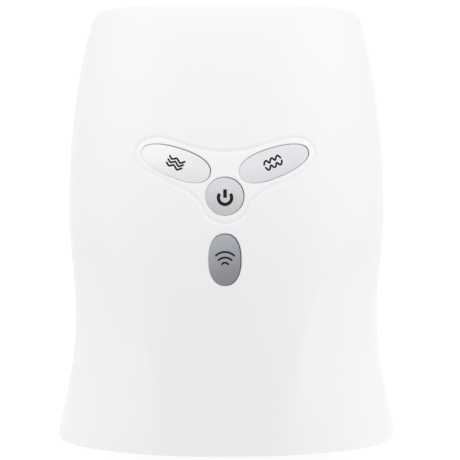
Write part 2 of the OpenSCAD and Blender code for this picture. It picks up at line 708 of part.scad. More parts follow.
// Flat cushion: rounded outline, crowned on one or both faces, sides drawn in between the corners
module cushion(w, l, y, z0, z1, crown_up, crown_down, draw) {
    count = 40;
    line = [for (j = [0 : count - 1])
        let (q = 360 * j / count, c = cos(q), s = sin(q),
            x = w / 2 * sign(c) * pow(abs(c), 0.36), v = l / 2 * sign(s) * pow(abs(s), 0.36),
            k = 1 - draw * (1 - pow(abs(sin(2 * q)), 0.7)))
        [x * k, v * k]];
    function at(f, z, up, h) = [for (p = line) [p[0] * f, p[1] * f + y, z + up * h * (1 - pow(f, 4))]];
    mid = (z0 + z1) / 2;
    stack([
        at(0.5, z1 - crown_up, 1, crown_up), at(0.8, z1 - crown_up, 1, crown_up),
        at(0.95, z1 - crown_up, 1, crown_up), at(1, mid, 0, 0),
        at(0.95, z0 + crown_down, -1, crown_down), at(0.8, z0 + crown_down, -1, crown_down),
        at(0.5, z0 + crown_down, -1, crown_down)],
        [0, y, z1], [0, y, z0]);
}

module ceiling_pad() {
    color("gray") cushion(pad_w, pad_l, pad_y, pad_top - pad_t, pad_top, 0.01, 1.6, 0.02);
}

module heat_film() {
    color("orange") block(-pad_w / 2 + 8, pad_w / 2 - 8, pad_y - pad_l / 2 + 10, pad_y + pad_l / 2 - 10,
        pad_top, film_top);
}

module upper_airbag() {
    color("skyblue") cushion(bag_w, bag_l, pad_y, bag_top - bag_t, bag_top, 1.2, 0.01, 0);
}

module palm_airbag() {
    color("skyblue") cushion(palm_bag_w, palm_bag_l, well_mid, palm_bag_z, palm_bag_z + bag_t, 0.01, 0.01, 0);
}

// Tray under the hand: rim plate, palm well and notches for bosses, lead and hose
module lower_tray() {
    x = tray_w / 2;
    xe = tray_end_w / 2;
    wx = well_w / 2;
    color("lightgray") difference() {
        union() {
            extruded([[-x, arch_y0], [x, arch_y0], [x, arch_level_y], [xe, arch_y1], [-xe, arch_y1],
                [-x, arch_level_y]], tray_z - tray_t, tray_z);
            block(-wx - well_wall, wx + well_wall, well_mid - well_l / 2 - well_wall,
                well_mid + well_l / 2 + well_wall, well_floor - well_wall, tray_z - 0.5);
        }
        block(-wx, wx, well_mid - well_l / 2, well_mid + well_l / 2, well_floor, tray_z + 1);
        for (b = boss_places) post(b[0], b[1], tray_z - tray_t - 1, tray_z + 1, boss_r + side_gap);
        for (p = post_places) post(p[0], p[1], tray_z - tray_t - 1, tray_z + 1, small_screw_r + 0.2);
        block(x - 4.2, x + 1, lead_y - 8, lead_y + 8, tray_z - tray_t - 1, tray_z + 1);
        post(riser[0], riser[1], tray_z - tray_t - 1, tray_z + 1, hose_d / 2 + 0.6);
        post(palm_hose[0], palm_hose[1], well_floor - well_wall - 1, well_floor + 1, hose_d / 2 + 0.4);
    }
}

module palm_plate() {
    color("silver") difference() {
        block(-palm_w / 2, palm_w / 2, well_mid - palm_l / 2, well_mid + palm_l / 2, palm_z, palm_top);
        block(-palm_w / 2 + 2, palm_w / 2 - 2, well_mid - palm_l / 2 + 2, well_mid + palm_l / 2 - 2,
            palm_z - 1, palm_top - 2.4);
        for (s = [-1, 1], t = [-1, 1]) translate([s * palm_w / 2, well_mid + t * palm_l / 2, palm_z - 1])
            rotate(45) cube([3, 3, 40], center = true);
    }
    color("silver") for (s = [-1, 0, 1])
        block(s * palm_w / 3 - 1, s * palm_w / 3 + 1, well_mid - palm_l / 2 + 1, well_mid + palm_l / 2 - 1,
            palm_z, palm_top - 2);
}

function nodule_at(i, j) =
    [(i - (nodule_cols - 1) / 2) * palm_w / (nodule_cols + 0.6),
        well_mid + (j - (nodule_rows - 1) / 2) * palm_l / (nodule_rows + 0.6)];

module massage_nodules() {
    ball = (nodule_d * nodule_d / 4 + nodule_h * nodule_h) / (2 * nodule_h);
    color("lightslategray") for (i = [0 : nodule_cols - 1], j = [0 : nodule_rows - 1])
        translate([nodule_at(i, j)[0], nodule_at(i, j)[1], palm_top]) intersection() {
            translate([0, 0, nodule_h - ball]) sphere(r = ball, $fn = 48);
            cylinder(r = nodule_d, h = nodule_h + 1, $fn = 32);
        }
}

// Battery pack on the base's floor, with its clip over it
battery_x0 = -frame_w / 2 + 12.5;
battery_y0 = arch_y0 + 20;
battery_z = base_skin_z(battery_x0, waist_y, wall) + seat_gap;
module battery_pack() {
    color("royalblue") block(battery_x0, battery_x0 + battery_w, battery_y0, battery_y0 + battery_l,
        battery_z, battery_z + battery_t);
}

module battery_clip() {
    clip_t = 1.2;
    clip_w = 12;
    mid = battery_y0 + battery_l / 2;
    top = battery_z + battery_t + 0.2;
    x0 = battery_x0 - 0.2;
    x1 = battery_x0 + battery_w + 0.2;
    color("dimgray") union() {
        block(x0 - clip_t, x1 + clip_t, mid - clip_w / 2, mid + clip_w / 2, top, top + clip_t);
        block(x0 - clip_t, x0, mid - clip_w / 2, mid + clip_w / 2,
            base_skin_z(x0 - clip_t, waist_y, wall) + seat_gap, top + 0.1);
        block(x1, x1 + clip_t, mid - clip_w / 2, mid + clip_w / 2, floor_z + 0.2, top + 0.1);
    }
}

board2_x1 = frame_w / 2 - 16.5;
board2_x0 = board2_x1 - 36;
board2_y0 = arch_y0 + 18;
board2_y1 = board2_y0 + 74;
board2_z = base_skin_z(board2_x1, waist_y, wall) + seat_gap;
chip_sink = 0.1;
module chip(x, y, w, l, h) {
    block(x, x + w, y, y + l, board2_z + board_t - chip_sink, board2_z + board_t + h);
}

module power_board() {
    color("darkgreen") union() {
        block(board2_x0, board2_x1, board2_y0, board2_y1, board2_z, board2_z + board_t);
        chip(board2_x0 + 4, board2_y0 + 6, 10, 10, 1.6);
        chip(board2_x0 + 14, board2_y0 + 24, 12, 12, 1.2);
        chip(board2_x0 + 8, board2_y0 + 44, 8, 8, 3);
        for (x = [8, 18]) post(board2_x0 + x, board2_y1 - 6, board2_z + board_t - chip_sink,
            board2_z + board_t + 7, 3.2);
    }
}

// A cylinder along X from x0 to x1
module along_x(x0, x1, y, z, r) {
    translate([x0, y, z]) rotate([0, 90, 0]) cylinder(r = r, h = x1 - x0, $fn = 48);
}

module along_y(x, y0, y1, z, r) {
    translate([x, y0, z]) rotate([-90, 0, 0]) cylinder(r = r, h = y1 - y0, $fn = 48);
}

module pump_motor() {
    color("silver") difference() {
        union() {
            along_x(pump_x, pump_mid, pump_y, pump_z, pump_motor_d / 2);
            along_x(pump_x - 2, pump_x + 0.1, pump_y, pump_z, 4);
        }
        along_x(pump_mid - 12, pump_mid + 1, pump_y, pump_z, shaft_d / 2 + shaft_gap);
    }
}

module pump_head() {
    wall_x = 2;
    color("dimgray") union() {
        difference() {
            along_x(pump_mid, pump_end, pump_y, pump_z, pump_r);
            along_x(pump_mid + wall_x, pump_end - wall_x, pump_y, pump_z, pump_r - wall_x);
            along_x(pump_mid - 1, pump_mid + wall_x + 1, pump_y, pump_z, shaft_d / 2 + 1);
        }
        along_x(pump_end - 0.1, pump_end + 2, pump_y, pump_z, hose_d / 2 - 0.6);
        block(pump_mid + 4, pump_end - 4, pump_y - 6, pump_y + 6, floor_z + 0.2, pump_z - pump_r + 1.5);
    }
}

module pump_crank() {
    color("goldenrod") union() {
        along_x(pump_mid - 11.5, pump_mid + 8, pump_y, pump_z, shaft_d / 2);
        along_x(pump_mid + 4, pump_mid + 8, pump_y + crank_off, pump_z, crank_r);
        along_x(pump_mid + 7.9, pump_mid + 14, pump_y + crank_off * 2, pump_z, 1.5);
    }
}

module air_valves() {
    color("silver") for (v = valve_places)
        block(v[0] - valve_w / 2, v[0] + valve_w / 2, v[1] - valve_w / 2, v[1] + valve_w / 2,
            valve_z, valve_z + 13);
}

// Routes of the hoses and of the flat lead, chosen by hand
hose_hole = [board_w / 2 + 4, pad_y + 28];
riser = [frame_w / 2 + 3, pump_y - 10];
palm_hose = [30, well_mid + 42];
lead_y = board_y0 + 16;
module hose(points) {
    sweep(curve(points, 2), hose_d / 2, hose_d / 2, 8, [0, 0, 1]);
}

module air_hoses() {
    first = valve_places[0][0];
    second = valve_places[1][0];
    low = floor_z + 6.1;
    up = arch_top;
    function rise(share) = tray_z + share * (up - tray_z);
    end = [palm_hose[0], palm_hose[1], palm_bag_z - seat_gap];
    color("white") sweep([[pump_end + 2, pump_y, pump_z], [first - valve_w / 2, pump_y, pump_z]],
        hose_d / 2, hose_d / 2, 8, [0, 0, 1]);
    color("white") hose([[second, valve_out, low], [second, pump_y - 10, low],
        [second - 0.8, pump_y - 15, low - 0.2], [second - 4, pump_y - 24, low - 1],
        [end[0] + 3, end[1] + 13, low - 1.4], [end[0] + 0.4, end[1] + 6, low - 0.4],
        [end[0], end[1] + 1, low + 3.6], end]);
    color("white") hose([[first, valve_out, low], [first, pump_y - 10, low],
        [first + 3, pump_y - 15, low + 2.5], [first + 12, pump_y - 17.2, low + 6],
        [first + 22, pump_y - 16.5, low + 7], [riser[0] - 7.5, riser[1] - 4.5, low + 8.5],
        [riser[0] - 1.5, riser[1] - 1.5, low + 12.5],
        [riser[0], riser[1], tray_z], [riser[0] - 0.1, riser[1], part_z],
        [riser[0] - 0.9, riser[1] - 0.5, rise(0.492)], [riser[0] - 2.9, riser[1] - 1.5, rise(0.738)],
        [riser[0] - 8.6, riser[1] - 3, up - 4.4], [hose_hole[0] + 14, riser[1] - 9, up + 1.4],
        [hose_hole[0] + 6, hose_hole[1] + 23, up + 4.2], [hose_hole[0] + 1.5, hose_hole[1] + 8, up + 5.6],
        [hose_hole[0], hose_hole[1] + 1.5, up + 3.5], [hose_hole[0], hose_hole[1], up + 0.2],
        [hose_hole[0], hose_hole[1], bag_top - 0.6]]);
}

module buzz_motor(s) {
    color("silver") difference() {
        along_y(s * buzz_x, buzz_y, buzz_y + buzz_l, buzz_z, buzz_d / 2);
        along_y(s * buzz_x, buzz_y + buzz_l - 8, buzz_y + buzz_l + 1, buzz_z, shaft_d / 2 + shaft_gap);
    }
}

module left_buzz_motor() { buzz_motor(-1); }
module right_buzz_motor() { buzz_motor(1); }

module weight(s) {
    y1 = buzz_y + buzz_l;
    color("gray") union() {
        along_y(s * buzz_x, y1 - 7.5, y1 + 1 + weight_l, buzz_z, shaft_d / 2);
        difference() {
            along_y(s * buzz_x, y1 + 1, y1 + 1 + weight_l, buzz_z, weight_r);
            block(s * buzz_x - 8, s * buzz_x + 8, y1, y1 + 2 + weight_l, buzz_z, buzz_z + 8);
        }
    }
}

module left_weight() { weight(-1); }
module right_weight() { weight(1); }

module motor_brackets() {
    color("white") for (s = [-1, 1]) difference() {
        block(s * buzz_x - bracket_w / 2, s * buzz_x + bracket_w / 2, buzz_y + 4, buzz_y + buzz_l - 4,
            bracket_z, buzz_z + 1);
        along_y(s * buzz_x, buzz_y, buzz_y + buzz_l, buzz_z, buzz_d / 2 + 0.05);
    }
}

module ribbon_cable() {
    side = frame_w / 2;
    low = board2_z + board_t;
    path = [[board_w / 2 - 2, lead_y, switch_z + 0.6], [board_w / 2 + 4, lead_y, switch_z + 0.6],
        [side - 12.5, lead_y, arch_top + 1.2], [side - 3.5, lead_y, arch_top - 8.8],
        [side + 1.5, lead_y, arch_top - 18.8], [side + 3.9, lead_y, part_z + 4],
        [side + 4.1, lead_y, tray_z + 4], [side + 4.1, lead_y, tray_z - 4], [side + 1.5, lead_y, tray_z - 12],
        [side - 4.5, lead_y, low + 4.7], [board2_x1 + 5, lead_y, low + 1.9],
        [board2_x1 - 1, lead_y, low + 1.1], [board2_x1 - 6, lead_y, low + 1]];
    color("tan") sweep(curve(path, 2), 0.6, 6, 8, [0, 0, 1]);
}

module charging_socket() {
    y1 = end_y + end_bow - 1;
    color("silver") difference() {
        socket_slot(socket_w, socket_h, y1 - 7.3, y1);
        socket_slot(socket_w - 0.8, socket_h - 0.8, y1 - 6, y1 + 1);
    }
    color("black") block(-socket_w / 2 + 1.2, socket_w / 2 - 1.2, y1 - 6.5, y1 - 0.8,
        socket_z - 0.35, socket_z + 0.35);
}

module charge_board() {
    y1 = end_y + end_bow - 1;
    color("darkgreen") block(-11, 11, arch_y1 + 1, y1 - 2.5, socket_board_z, socket_board_z + board_t);
}

module case_screws() {
    color("silver") for (b = boss_places) {
        post(b[0], b[1], head_seat_z - head_h, head_seat_z, head_r);
        post(b[0], b[1], head_seat_z - 0.1, screw_end_z, screw_d / 2);
    }
}

module frame_screws() {
    z = tray_z + lug_t;
    color("silver") for (p = post_places) {
        post(p[0], p[1], z, z + 1.6, 2);
        post(p[0], p[1], z - 10, z + 0.1, small_screw_r);
    }
}

module rubber_feet() {
    top = base_z + foot_sink;
    color("gray") for (f = foot_places) translate([f[0], f[1], 0]) rotate_extrude($fn = 48)
        polygon([[0, 0], [foot_d / 2 - 1, 0], [foot_d / 2, 1], [foot_d / 2, top], [0, top]]);
}

top_cover();
base_shell();
button_panel();
mouth_bezel();
upper_frame();
lower_tray();
hand_liner();
ceiling_pad();
heat_film();
upper_airbag();
palm_airbag();
palm_plate();
massage_nodules();
power_key();
vibration_key();
wave_key();
pressure_key();
power_plunger();
vibration_plunger();
wave_plunger();
pressure_plunger();
key_board();
push_switches();
key_board_screws();
power_board();
battery_pack();
battery_clip();
pump_motor();
pump_head();
pump_crank();
air_valves();
air_hoses();
left_buzz_motor();
right_buzz_motor();
left_weight();
right_weight();
motor_brackets();
ribbon_cable();
charging_socket();
charge_board();
case_screws();
frame_screws();
rubber_feet();
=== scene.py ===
import math

import bmesh
import bpy
from mathutils import Matrix, Vector
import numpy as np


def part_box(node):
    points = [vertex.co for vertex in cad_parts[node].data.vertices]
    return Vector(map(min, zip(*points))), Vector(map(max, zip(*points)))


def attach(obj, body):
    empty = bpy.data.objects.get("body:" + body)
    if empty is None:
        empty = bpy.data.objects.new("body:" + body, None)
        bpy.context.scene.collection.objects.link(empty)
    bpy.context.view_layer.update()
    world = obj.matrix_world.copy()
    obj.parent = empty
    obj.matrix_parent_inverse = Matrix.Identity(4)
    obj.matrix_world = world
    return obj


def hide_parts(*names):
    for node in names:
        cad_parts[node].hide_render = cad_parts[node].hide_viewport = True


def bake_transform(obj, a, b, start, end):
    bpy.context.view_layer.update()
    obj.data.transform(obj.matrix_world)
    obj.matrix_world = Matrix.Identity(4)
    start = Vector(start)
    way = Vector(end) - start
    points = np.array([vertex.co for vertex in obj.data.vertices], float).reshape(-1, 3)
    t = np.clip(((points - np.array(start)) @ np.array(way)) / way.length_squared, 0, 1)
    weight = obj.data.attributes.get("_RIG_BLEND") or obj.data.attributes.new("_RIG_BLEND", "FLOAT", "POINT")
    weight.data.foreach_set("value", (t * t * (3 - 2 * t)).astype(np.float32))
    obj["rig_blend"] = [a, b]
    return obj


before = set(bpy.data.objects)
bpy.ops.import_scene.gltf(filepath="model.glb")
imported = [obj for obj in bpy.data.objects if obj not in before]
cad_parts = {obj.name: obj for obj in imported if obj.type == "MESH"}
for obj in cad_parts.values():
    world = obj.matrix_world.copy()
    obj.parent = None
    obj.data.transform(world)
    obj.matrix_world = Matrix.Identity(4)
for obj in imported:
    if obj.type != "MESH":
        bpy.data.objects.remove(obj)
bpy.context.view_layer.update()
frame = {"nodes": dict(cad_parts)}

bl_info = {
    "name": "Hand massager",
    "version": (1, 0, 0),
    "blender": (4, 5, 0),
    "location": "View3D > Sidebar > Massager",
    "description": "Shells, keys, lining, pads, hoses and finishes of a hand massager",
    "category": "Object",
}

MM = 0.001
WELD = 1e-4
CORNER_WELD = 2e-5
UP, DOWN = 1, -1

# Slopes, exponents and shares of the forms. SCOOP_PEAK is the most that a scoop's curve reaches.
MOUTH_LEAN = 0.21
FLARE_SLOPE = -0.22
END_SLOPE = -0.28
CROWN_MOUTH_SLOPE = -0.02
CROWN_END_SLOPE = -0.7
ARCH_SLOPES = (-0.2, -0.6)
CREASE_SLOPE = 0.85
CREASE_SOFT = 0.02
CREASE_SOFTENS = 0.16
SCOOP_N = 1.3
SCOOP_PEAK = 0.207
SCOOP_FADES = 0.6
KEY_N = 2.3
KEY_DOME_N = 2.6
EGG_FULL = 0.10
CUSHION_N = 5.6
SLANT = math.radians(20)

# Places along the length where a form starts and where it is full, in millimetres
SCOOP_SPAN = (4, -16)
SCOOP_FADE_SPAN = (-40, -94)
CREASE_SOFT_SPAN = (-45, -95)
BOW_START = 50
LEAN_START = -30
ARCH_FALL_START = 45

# Distances in millimetres: mouth first, finger end second where there are two
CREASE_X = (33, 61.8)
ARCH_INSET = (14, 12.4)
ARCH_NARROWS, ARCH_DROPS = 5.5, 13.6
LINING_GAP = 2.3
KEY_DRAW = 0.32
KEY_REST = Vector((-0.19, -0.12))
# How deep the panel's flange lies under the cover, and how deep the soft groove round it is
SEAT_STEP, GROOVE = 0.3, 0.38


def length(name, description, millimetres):
    """A size property whose default is given in millimetres."""
    return bpy.props.FloatProperty(
        name=name, description=description, default=millimetres * MM, unit="LENGTH", precision=5)


def colour(name, description, red, green, blue):
    """A colour property."""
    return bpy.props.FloatVectorProperty(
        name=name, description=description, default=(red, green, blue), subtype="COLOR",
        size=3, min=0.0, max=1.0)


class MassagerSizes(bpy.types.PropertyGroup):
    """Sizes of the massager's forms"""
    body_l: length("Body length", "Length over all, wrist mouth to finger end", 210)
    body_w: length("Body width", "Width over the flared wrist mouth", 156)
    body_h: length("Body height", "Height from the table to the crown", 100)
    waist_w: length("Waist width", "Width at the waist behind the keys", 140.3)
    bulge_w: length("Bulge width", "Width at the bulge beside the keys", 146.8)
    end_w: length("End width", "Width of the finger end", 123.2)
    waist_y: length("Waist place", "Place of the waist along the length", -39.5)
    bulge_y: length("Bulge place", "Place of the bulge along the length", 9.3)
    end_bow: length("End bow", "How far the finger end bows out in the middle", 3.6)
    end_round: length("End rounding", "Rounding between the finger end and the sides", 4)
    mouth_crown: length("Mouth crown", "Height of the crown at the wrist mouth", 94.5)
    end_crown: length("End crown", "Height of the crown at the finger end", 74)
    crown_y: length("Crown place", "Place of the highest point along the length", 5)
    part_z: length("Parting line", "Height of the parting line between cover and base", 42)
    base_z: length("Base height", "Height of the base's bottom above the table", 2.5)
    scoop_d: length("Scoop depth", "Depth of side scoops that were as wide as the waist", 17.6)
    wall: length("Wall", "Wall thickness of cover and base", 2.4)
    slant_key_l: length("Slanted key length", "Length of the slanted keys", 33.8)
    slant_key_w: length("Slanted key width", "Width of the slanted keys", 14.1)
    slant_key_x: length("Slanted key offset", "Distance of the slanted keys from the middle", 22.75)
    slant_key_y: length("Slanted key place", "Place of the slanted keys along the length", 31.35)
    power_key_d: length("Power key", "Diameter of the round power key", 18)
    power_key_y: length("Power key place", "Place of the power key along the length", 15.8)
    oval_key_w: length("Oval key width", "Width of the oval pressure key", 15.2)
    oval_key_l: length("Oval key length", "Length of the oval pressure key", 24.2)
    oval_key_y: length("Oval key place", "Place of the oval key along the length", -13.6)
    key_proud: length("Key height", "How far the keys stand above the surface", 0.9)
    key_gap: length("Key gap", "Gap round each key", 0.3)
    frame_w: length("Arch width", "Width over the arch frame", 121)
    arch_top: length("Arch height", "Height of the arch frame's top", 78.8075)
    tray_z: length("Tray height", "Height of the tray's top face", 30)
    liner_t: length("Lining", "Thickness of the fabric lining", 1.6)
    pad_swell: length("Pad swell", "How far the ceiling pad's sewn fields swell", 1.1)
    hose_d: length("Hose", "Outer diameter of the air hoses", 4)
    hose_bore: length("Hose bore", "Inner diameter of the air hoses", 2.4)


class MassagerColours(bpy.types.PropertyGroup):
    """Colours of the massager's finishes"""
    shell: colour("Shell", "Satin white of cover and base", 0.868, 0.866, 0.879)
    panel: colour("Panel", "Satin white of the key panel", 0.876, 0.875, 0.887)
    bezel: colour("Bezel", "Satin grey of the mouth ring", 0.36, 0.365, 0.385)
    frame: colour("Frame", "Light grey of the arch frame", 0.55, 0.56, 0.57)
    tray: colour("Tray", "Grey of the tray under the hand", 0.42, 0.43, 0.45)
    lining: colour("Lining", "Knit fabric of the hand cavity", 0.105, 0.108, 0.12)
    pad: colour("Pad", "Cover fabric of the ceiling pad", 0.14, 0.145, 0.16)
    vibration_key: colour("Vibration key", "Pale silver of the left key", 0.83, 0.83, 0.845)
    wave_key: colour("Wave key", "Lavender grey of the right key", 0.735, 0.735, 0.765)
    power_key: colour("Power key", "Silver of the power key", 0.61, 0.61, 0.635)
    pressure_key: colour("Pressure key", "Grey of the oval key", 0.298, 0.302, 0.33)
    sign: colour("Signs", "Charcoal of the printed signs", 0.012, 0.012, 0.011)
    thread: colour("Thread", "Sewing thread and piping of the ceiling pad", 0.22, 0.225, 0.24)
    palm: colour("Palm plate", "Soft-touch grey of the palm plate", 0.30, 0.31, 0.33)
    nodule: colour("Nodules", "Rubber of the massage nodules", 0.12, 0.15, 0.19)
    rubber: colour("Feet", "Rubber of the feet", 0.09, 0.09, 0.095)
    film: colour("Heat film", "Amber film of the heater", 0.62, 0.27, 0.045)
    air_film: colour("Air bags", "Milky film of the air bags", 0.74, 0.80, 0.83)
    hose: colour("Hoses", "Clear silicone of the air hoses", 0.82, 0.85, 0.85)
    board: colour("Boards", "Solder mask of the boards", 0.015, 0.14, 0.055)
    battery: colour("Battery wrap", "Shrink wrap of the battery pack", 0.035, 0.16, 0.42)
    ribbon: colour("Ribbon", "Grey-tan insulation of the ribbon lead", 0.52, 0.46, 0.37)
    steel: colour("Steel", "Rolled steel of motors, valves and screws", 0.60, 0.60, 0.59)
    brass: colour("Brass", "Brass of the pump's crank", 0.76, 0.56, 0.24)
    black: colour("Black parts", "Nylon of switches, plungers, clip and pump", 0.028, 0.028, 0.03)
    bracket: colour("Brackets", "White nylon of the motor brackets", 0.74, 0.74, 0.72)


# Curves and outlines

def curve(knots, x):
    """Value at x of a smooth curve through knots of (place, value, slope)."""
    i = next((i for i in range(1, len(knots) - 1) if x < knots[i][0]), len(knots) - 1)
    (x0, v0, s0), (x1, v1, s1) = knots[i - 1], knots[i]
    span = x1 - x0
    t = min(1.0, max(0.0, (x - x0) / span))
    return ((2 * t ** 3 - 3 * t ** 2 + 1) * v0 + (t ** 3 - 2 * t ** 2 + t) * span * s0
            + (3 * t ** 2 - 2 * t ** 3) * v1 + (t ** 3 - t ** 2) * span * s1)


def ramp(x, start, end):
    """Eases from 0 at start to 1 at end."""
    t = min(1.0, max(0.0, (x - start) / (end - start)))
    return t * t * (3 - 2 * t)


def signed(value, power):
    """A power of a value that keeps the value's sign."""
    return math.copysign(abs(value) ** power, value)


def turns(count, shift=0.0):
    """Angles spread evenly round a full turn."""
    return [math.tau * (i + shift) / count for i in range(count)]


def arch_share(u, n):
    """Height share of a rounded section of exponent n at the width share u."""
    return max(0.0, 1 - min(1.0, abs(u)) ** n) ** (1 / n)


def spline(points, steps, closed=False):
    """Points along a smooth curve through the given points."""
    points = [Vector(p) for p in points]
    n = len(points)
    found = []
    for i in range(n if closed else n - 1):
        a, b, c, d = (points[k % n] if closed else points[min(n - 1, max(0, k))]
                      for k in (i - 1, i, i + 1, i + 2))
        for k in range(steps):
            t = k / steps
            found.append(0.5 * (2 * b + (c - a) * t + (2 * a - 5 * b + 4 * c - d) * t * t
                                + (3 * b - a - 3 * c + d) * t ** 3))
    return found if closed else found + [points[-1]]


def directions(points, closed=False):
    """Unit vectors along a path at its points."""
    ends = [points[-1], *points, points[0]] if closed else [points[0], *points, points[-1]]
    return [(b - a).normalized() for a, b in zip(ends, ends[2:])]


def plan_normals(points):
    """Unit vectors in plan that point into a closed ring of points, whichever way it runs."""
    plan = [Vector(p[:2]) for p in points]
    turn = math.copysign(1.0, sum(plan[i - 1].cross(p) for i, p in enumerate(plan)))
    return [Vector((-way.y, way.x)) * turn for way in directions(plan, closed=True)]


def grown(points, d):
    """A closed plan outline moved outwards by d."""
    return [p - n * d for p, n in zip(points, plan_normals(points))]


def oval(centre, a, b, fuller=0.0, tilt=0.0):
    """Rounded oval outline, wider towards +X by the share fuller, turned by tilt."""
    points = []
    for q in turns(72):
        u = a * signed(math.cos(q), 2 / KEY_N)
        v = b * signed(math.sin(q), 2 / KEY_N) * (1 + fuller * u / a)
        points.append(Vector((centre[0] + u * math.cos(tilt) - v * math.sin(tilt),
                              centre[1] + u * math.sin(tilt) + v * math.cos(tilt))))
    return points


def circle(centre, r, count, shift=0.0):
    """Round outline."""
    return [Vector((centre[0] + r * math.cos(q), centre[1] + r * math.sin(q)))
            for q in turns(count, shift)]


def mirrored(points):
    """An outline on the other side of the centre line."""
    return [Vector((-p[0], p[1])) for p in reversed(points)]


def raised(points, height):
    """Points in plan, each at the height that height gives for its x and y."""
    return [Vector((p.x, p.y, height(p.x, p.y))) for p in points]


def level(z):
    """A height that is the same everywhere."""
    return lambda x, y: z


class Form:
    """The massager's shape in millimetres, worked out from the sizes. Its lines are knots of
    (place along the length, value, slope)."""

    def __init__(self, sizes):
        for key in MassagerSizes.__annotations__:
            setattr(self, key, getattr(sizes, key) / MM)
        self.end_y = self.body_l / 2 - self.end_bow
        self.mouth_y = -self.body_l / 2 + MOUTH_LEAN * (self.mouth_crown - self.part_z)
        self.arch_y0 = self.mouth_y + ARCH_INSET[0]
        self.arch_y1 = self.end_y - ARCH_INSET[1]
        self.sides = [(self.mouth_y, self.body_w / 2, FLARE_SLOPE),
                      (self.waist_y, self.waist_w / 2, 0), (self.bulge_y, self.bulge_w / 2, 0),
                      (self.end_y, self.end_w / 2, END_SLOPE)]
        self.crown = [(self.mouth_y, self.mouth_crown, CROWN_MOUTH_SLOPE),
                      (self.crown_y, self.body_h, 0), (self.end_y, self.end_crown, CROWN_END_SLOPE)]
        self.crease = [(self.mouth_y, CREASE_X[0], 0), (0, CREASE_X[1], CREASE_SLOPE)]
        self.arch_sides, self.arch_crown = (
            [(ARCH_FALL_START, full, 0), (self.arch_y1, full - fall, slope)]
            for full, fall, slope in ((self.frame_w / 2, ARCH_NARROWS, ARCH_SLOPES[0]),
                                      (self.arch_top, ARCH_DROPS, ARCH_SLOPES[1])))

    def scoop(self, x, y, w):
        """Depth of the side scoops. They start at a crease that is crisp behind the bulge and soft
        at the mouth."""
        if y >= 0:
            return 0.0
        crease = curve(self.crease, y)
        soft = CREASE_SOFT + CREASE_SOFTENS * ramp(y, *CREASE_SOFT_SPAN)
        u = (abs(x) - crease) / (w - crease)
        u = (u + math.sqrt(u * u + soft ** 2)) / 2
        if u >= 1:
            return 0.0
        fade = ramp(y, *SCOOP_SPAN) * (1 - SCOOP_FADES * ramp(y, *SCOOP_FADE_SPAN))
        share = u * (1 - u) ** SCOOP_N / SCOOP_PEAK
        return self.scoop_d * fade * (w - crease) / self.waist_w * share

    def bow(self, y):
        """How far the finger end bows out in the middle."""
        return self.end_bow * ramp(y, BOW_START, self.end_y)

    def lean(self, y):
        """How much the sections lean forward at the wrist mouth."""
        return MOUTH_LEAN * ramp(y, LEAN_START, self.mouth_y)

    def left_key(self, grow=0.0):
        """Outline of the left slanted key."""
        return oval((-self.slant_key_x, self.slant_key_y), self.slant_key_l / 2 + grow,
                    self.slant_key_w / 2 + grow, EGG_FULL, -SLANT)

    def right_key(self, grow=0.0):
        """Outline of the right slanted key."""
        return mirrored(self.left_key(grow))

    def oval_key(self, grow=0.0):
        """Outline of the oval pressure key."""
        return oval((0, self.oval_key_y), self.oval_key_w / 2 + grow, self.oval_key_l / 2 + grow)

    def round_key(self, grow=0.0):
        """Outline of the power key."""
        return circle((0, self.power_key_y), self.power_key_d / 2 + grow, 72)

    def slant_arm(self):
        """Outer end of the right slanted key."""
        half = self.slant_key_l / 2
        return self.slant_key_x + half * math.cos(SLANT), self.slant_key_y + half * math.sin(SLANT)

    def panel_outline(self):
        """Outline of the panel: a soft three-armed form with margins round the keys that it
        holds."""
        ax, ay = self.slant_arm()
        sky, pky = self.slant_key_y, self.power_key_y
        half = [(-9.8, sky + 6.05), (-18.5, sky + 8.35), (-ax + 9.1, ay + 5.6),
                (-ax + 1.6, ay + 4.6), (-ax - 2.5, ay - 0.1), (-ax - 0.4, ay - 6.7),
                (-ax + 9.3, ay - 13.2), (-18.9, pky + 3.4), (-12.0, pky - 2.1), (-7.8, pky - 9.4)]
        return spline([(0, sky + 5.1), *half, (0, pky - self.power_key_d / 2 - 3.5),
                       *mirrored(half)], 9, closed=True)


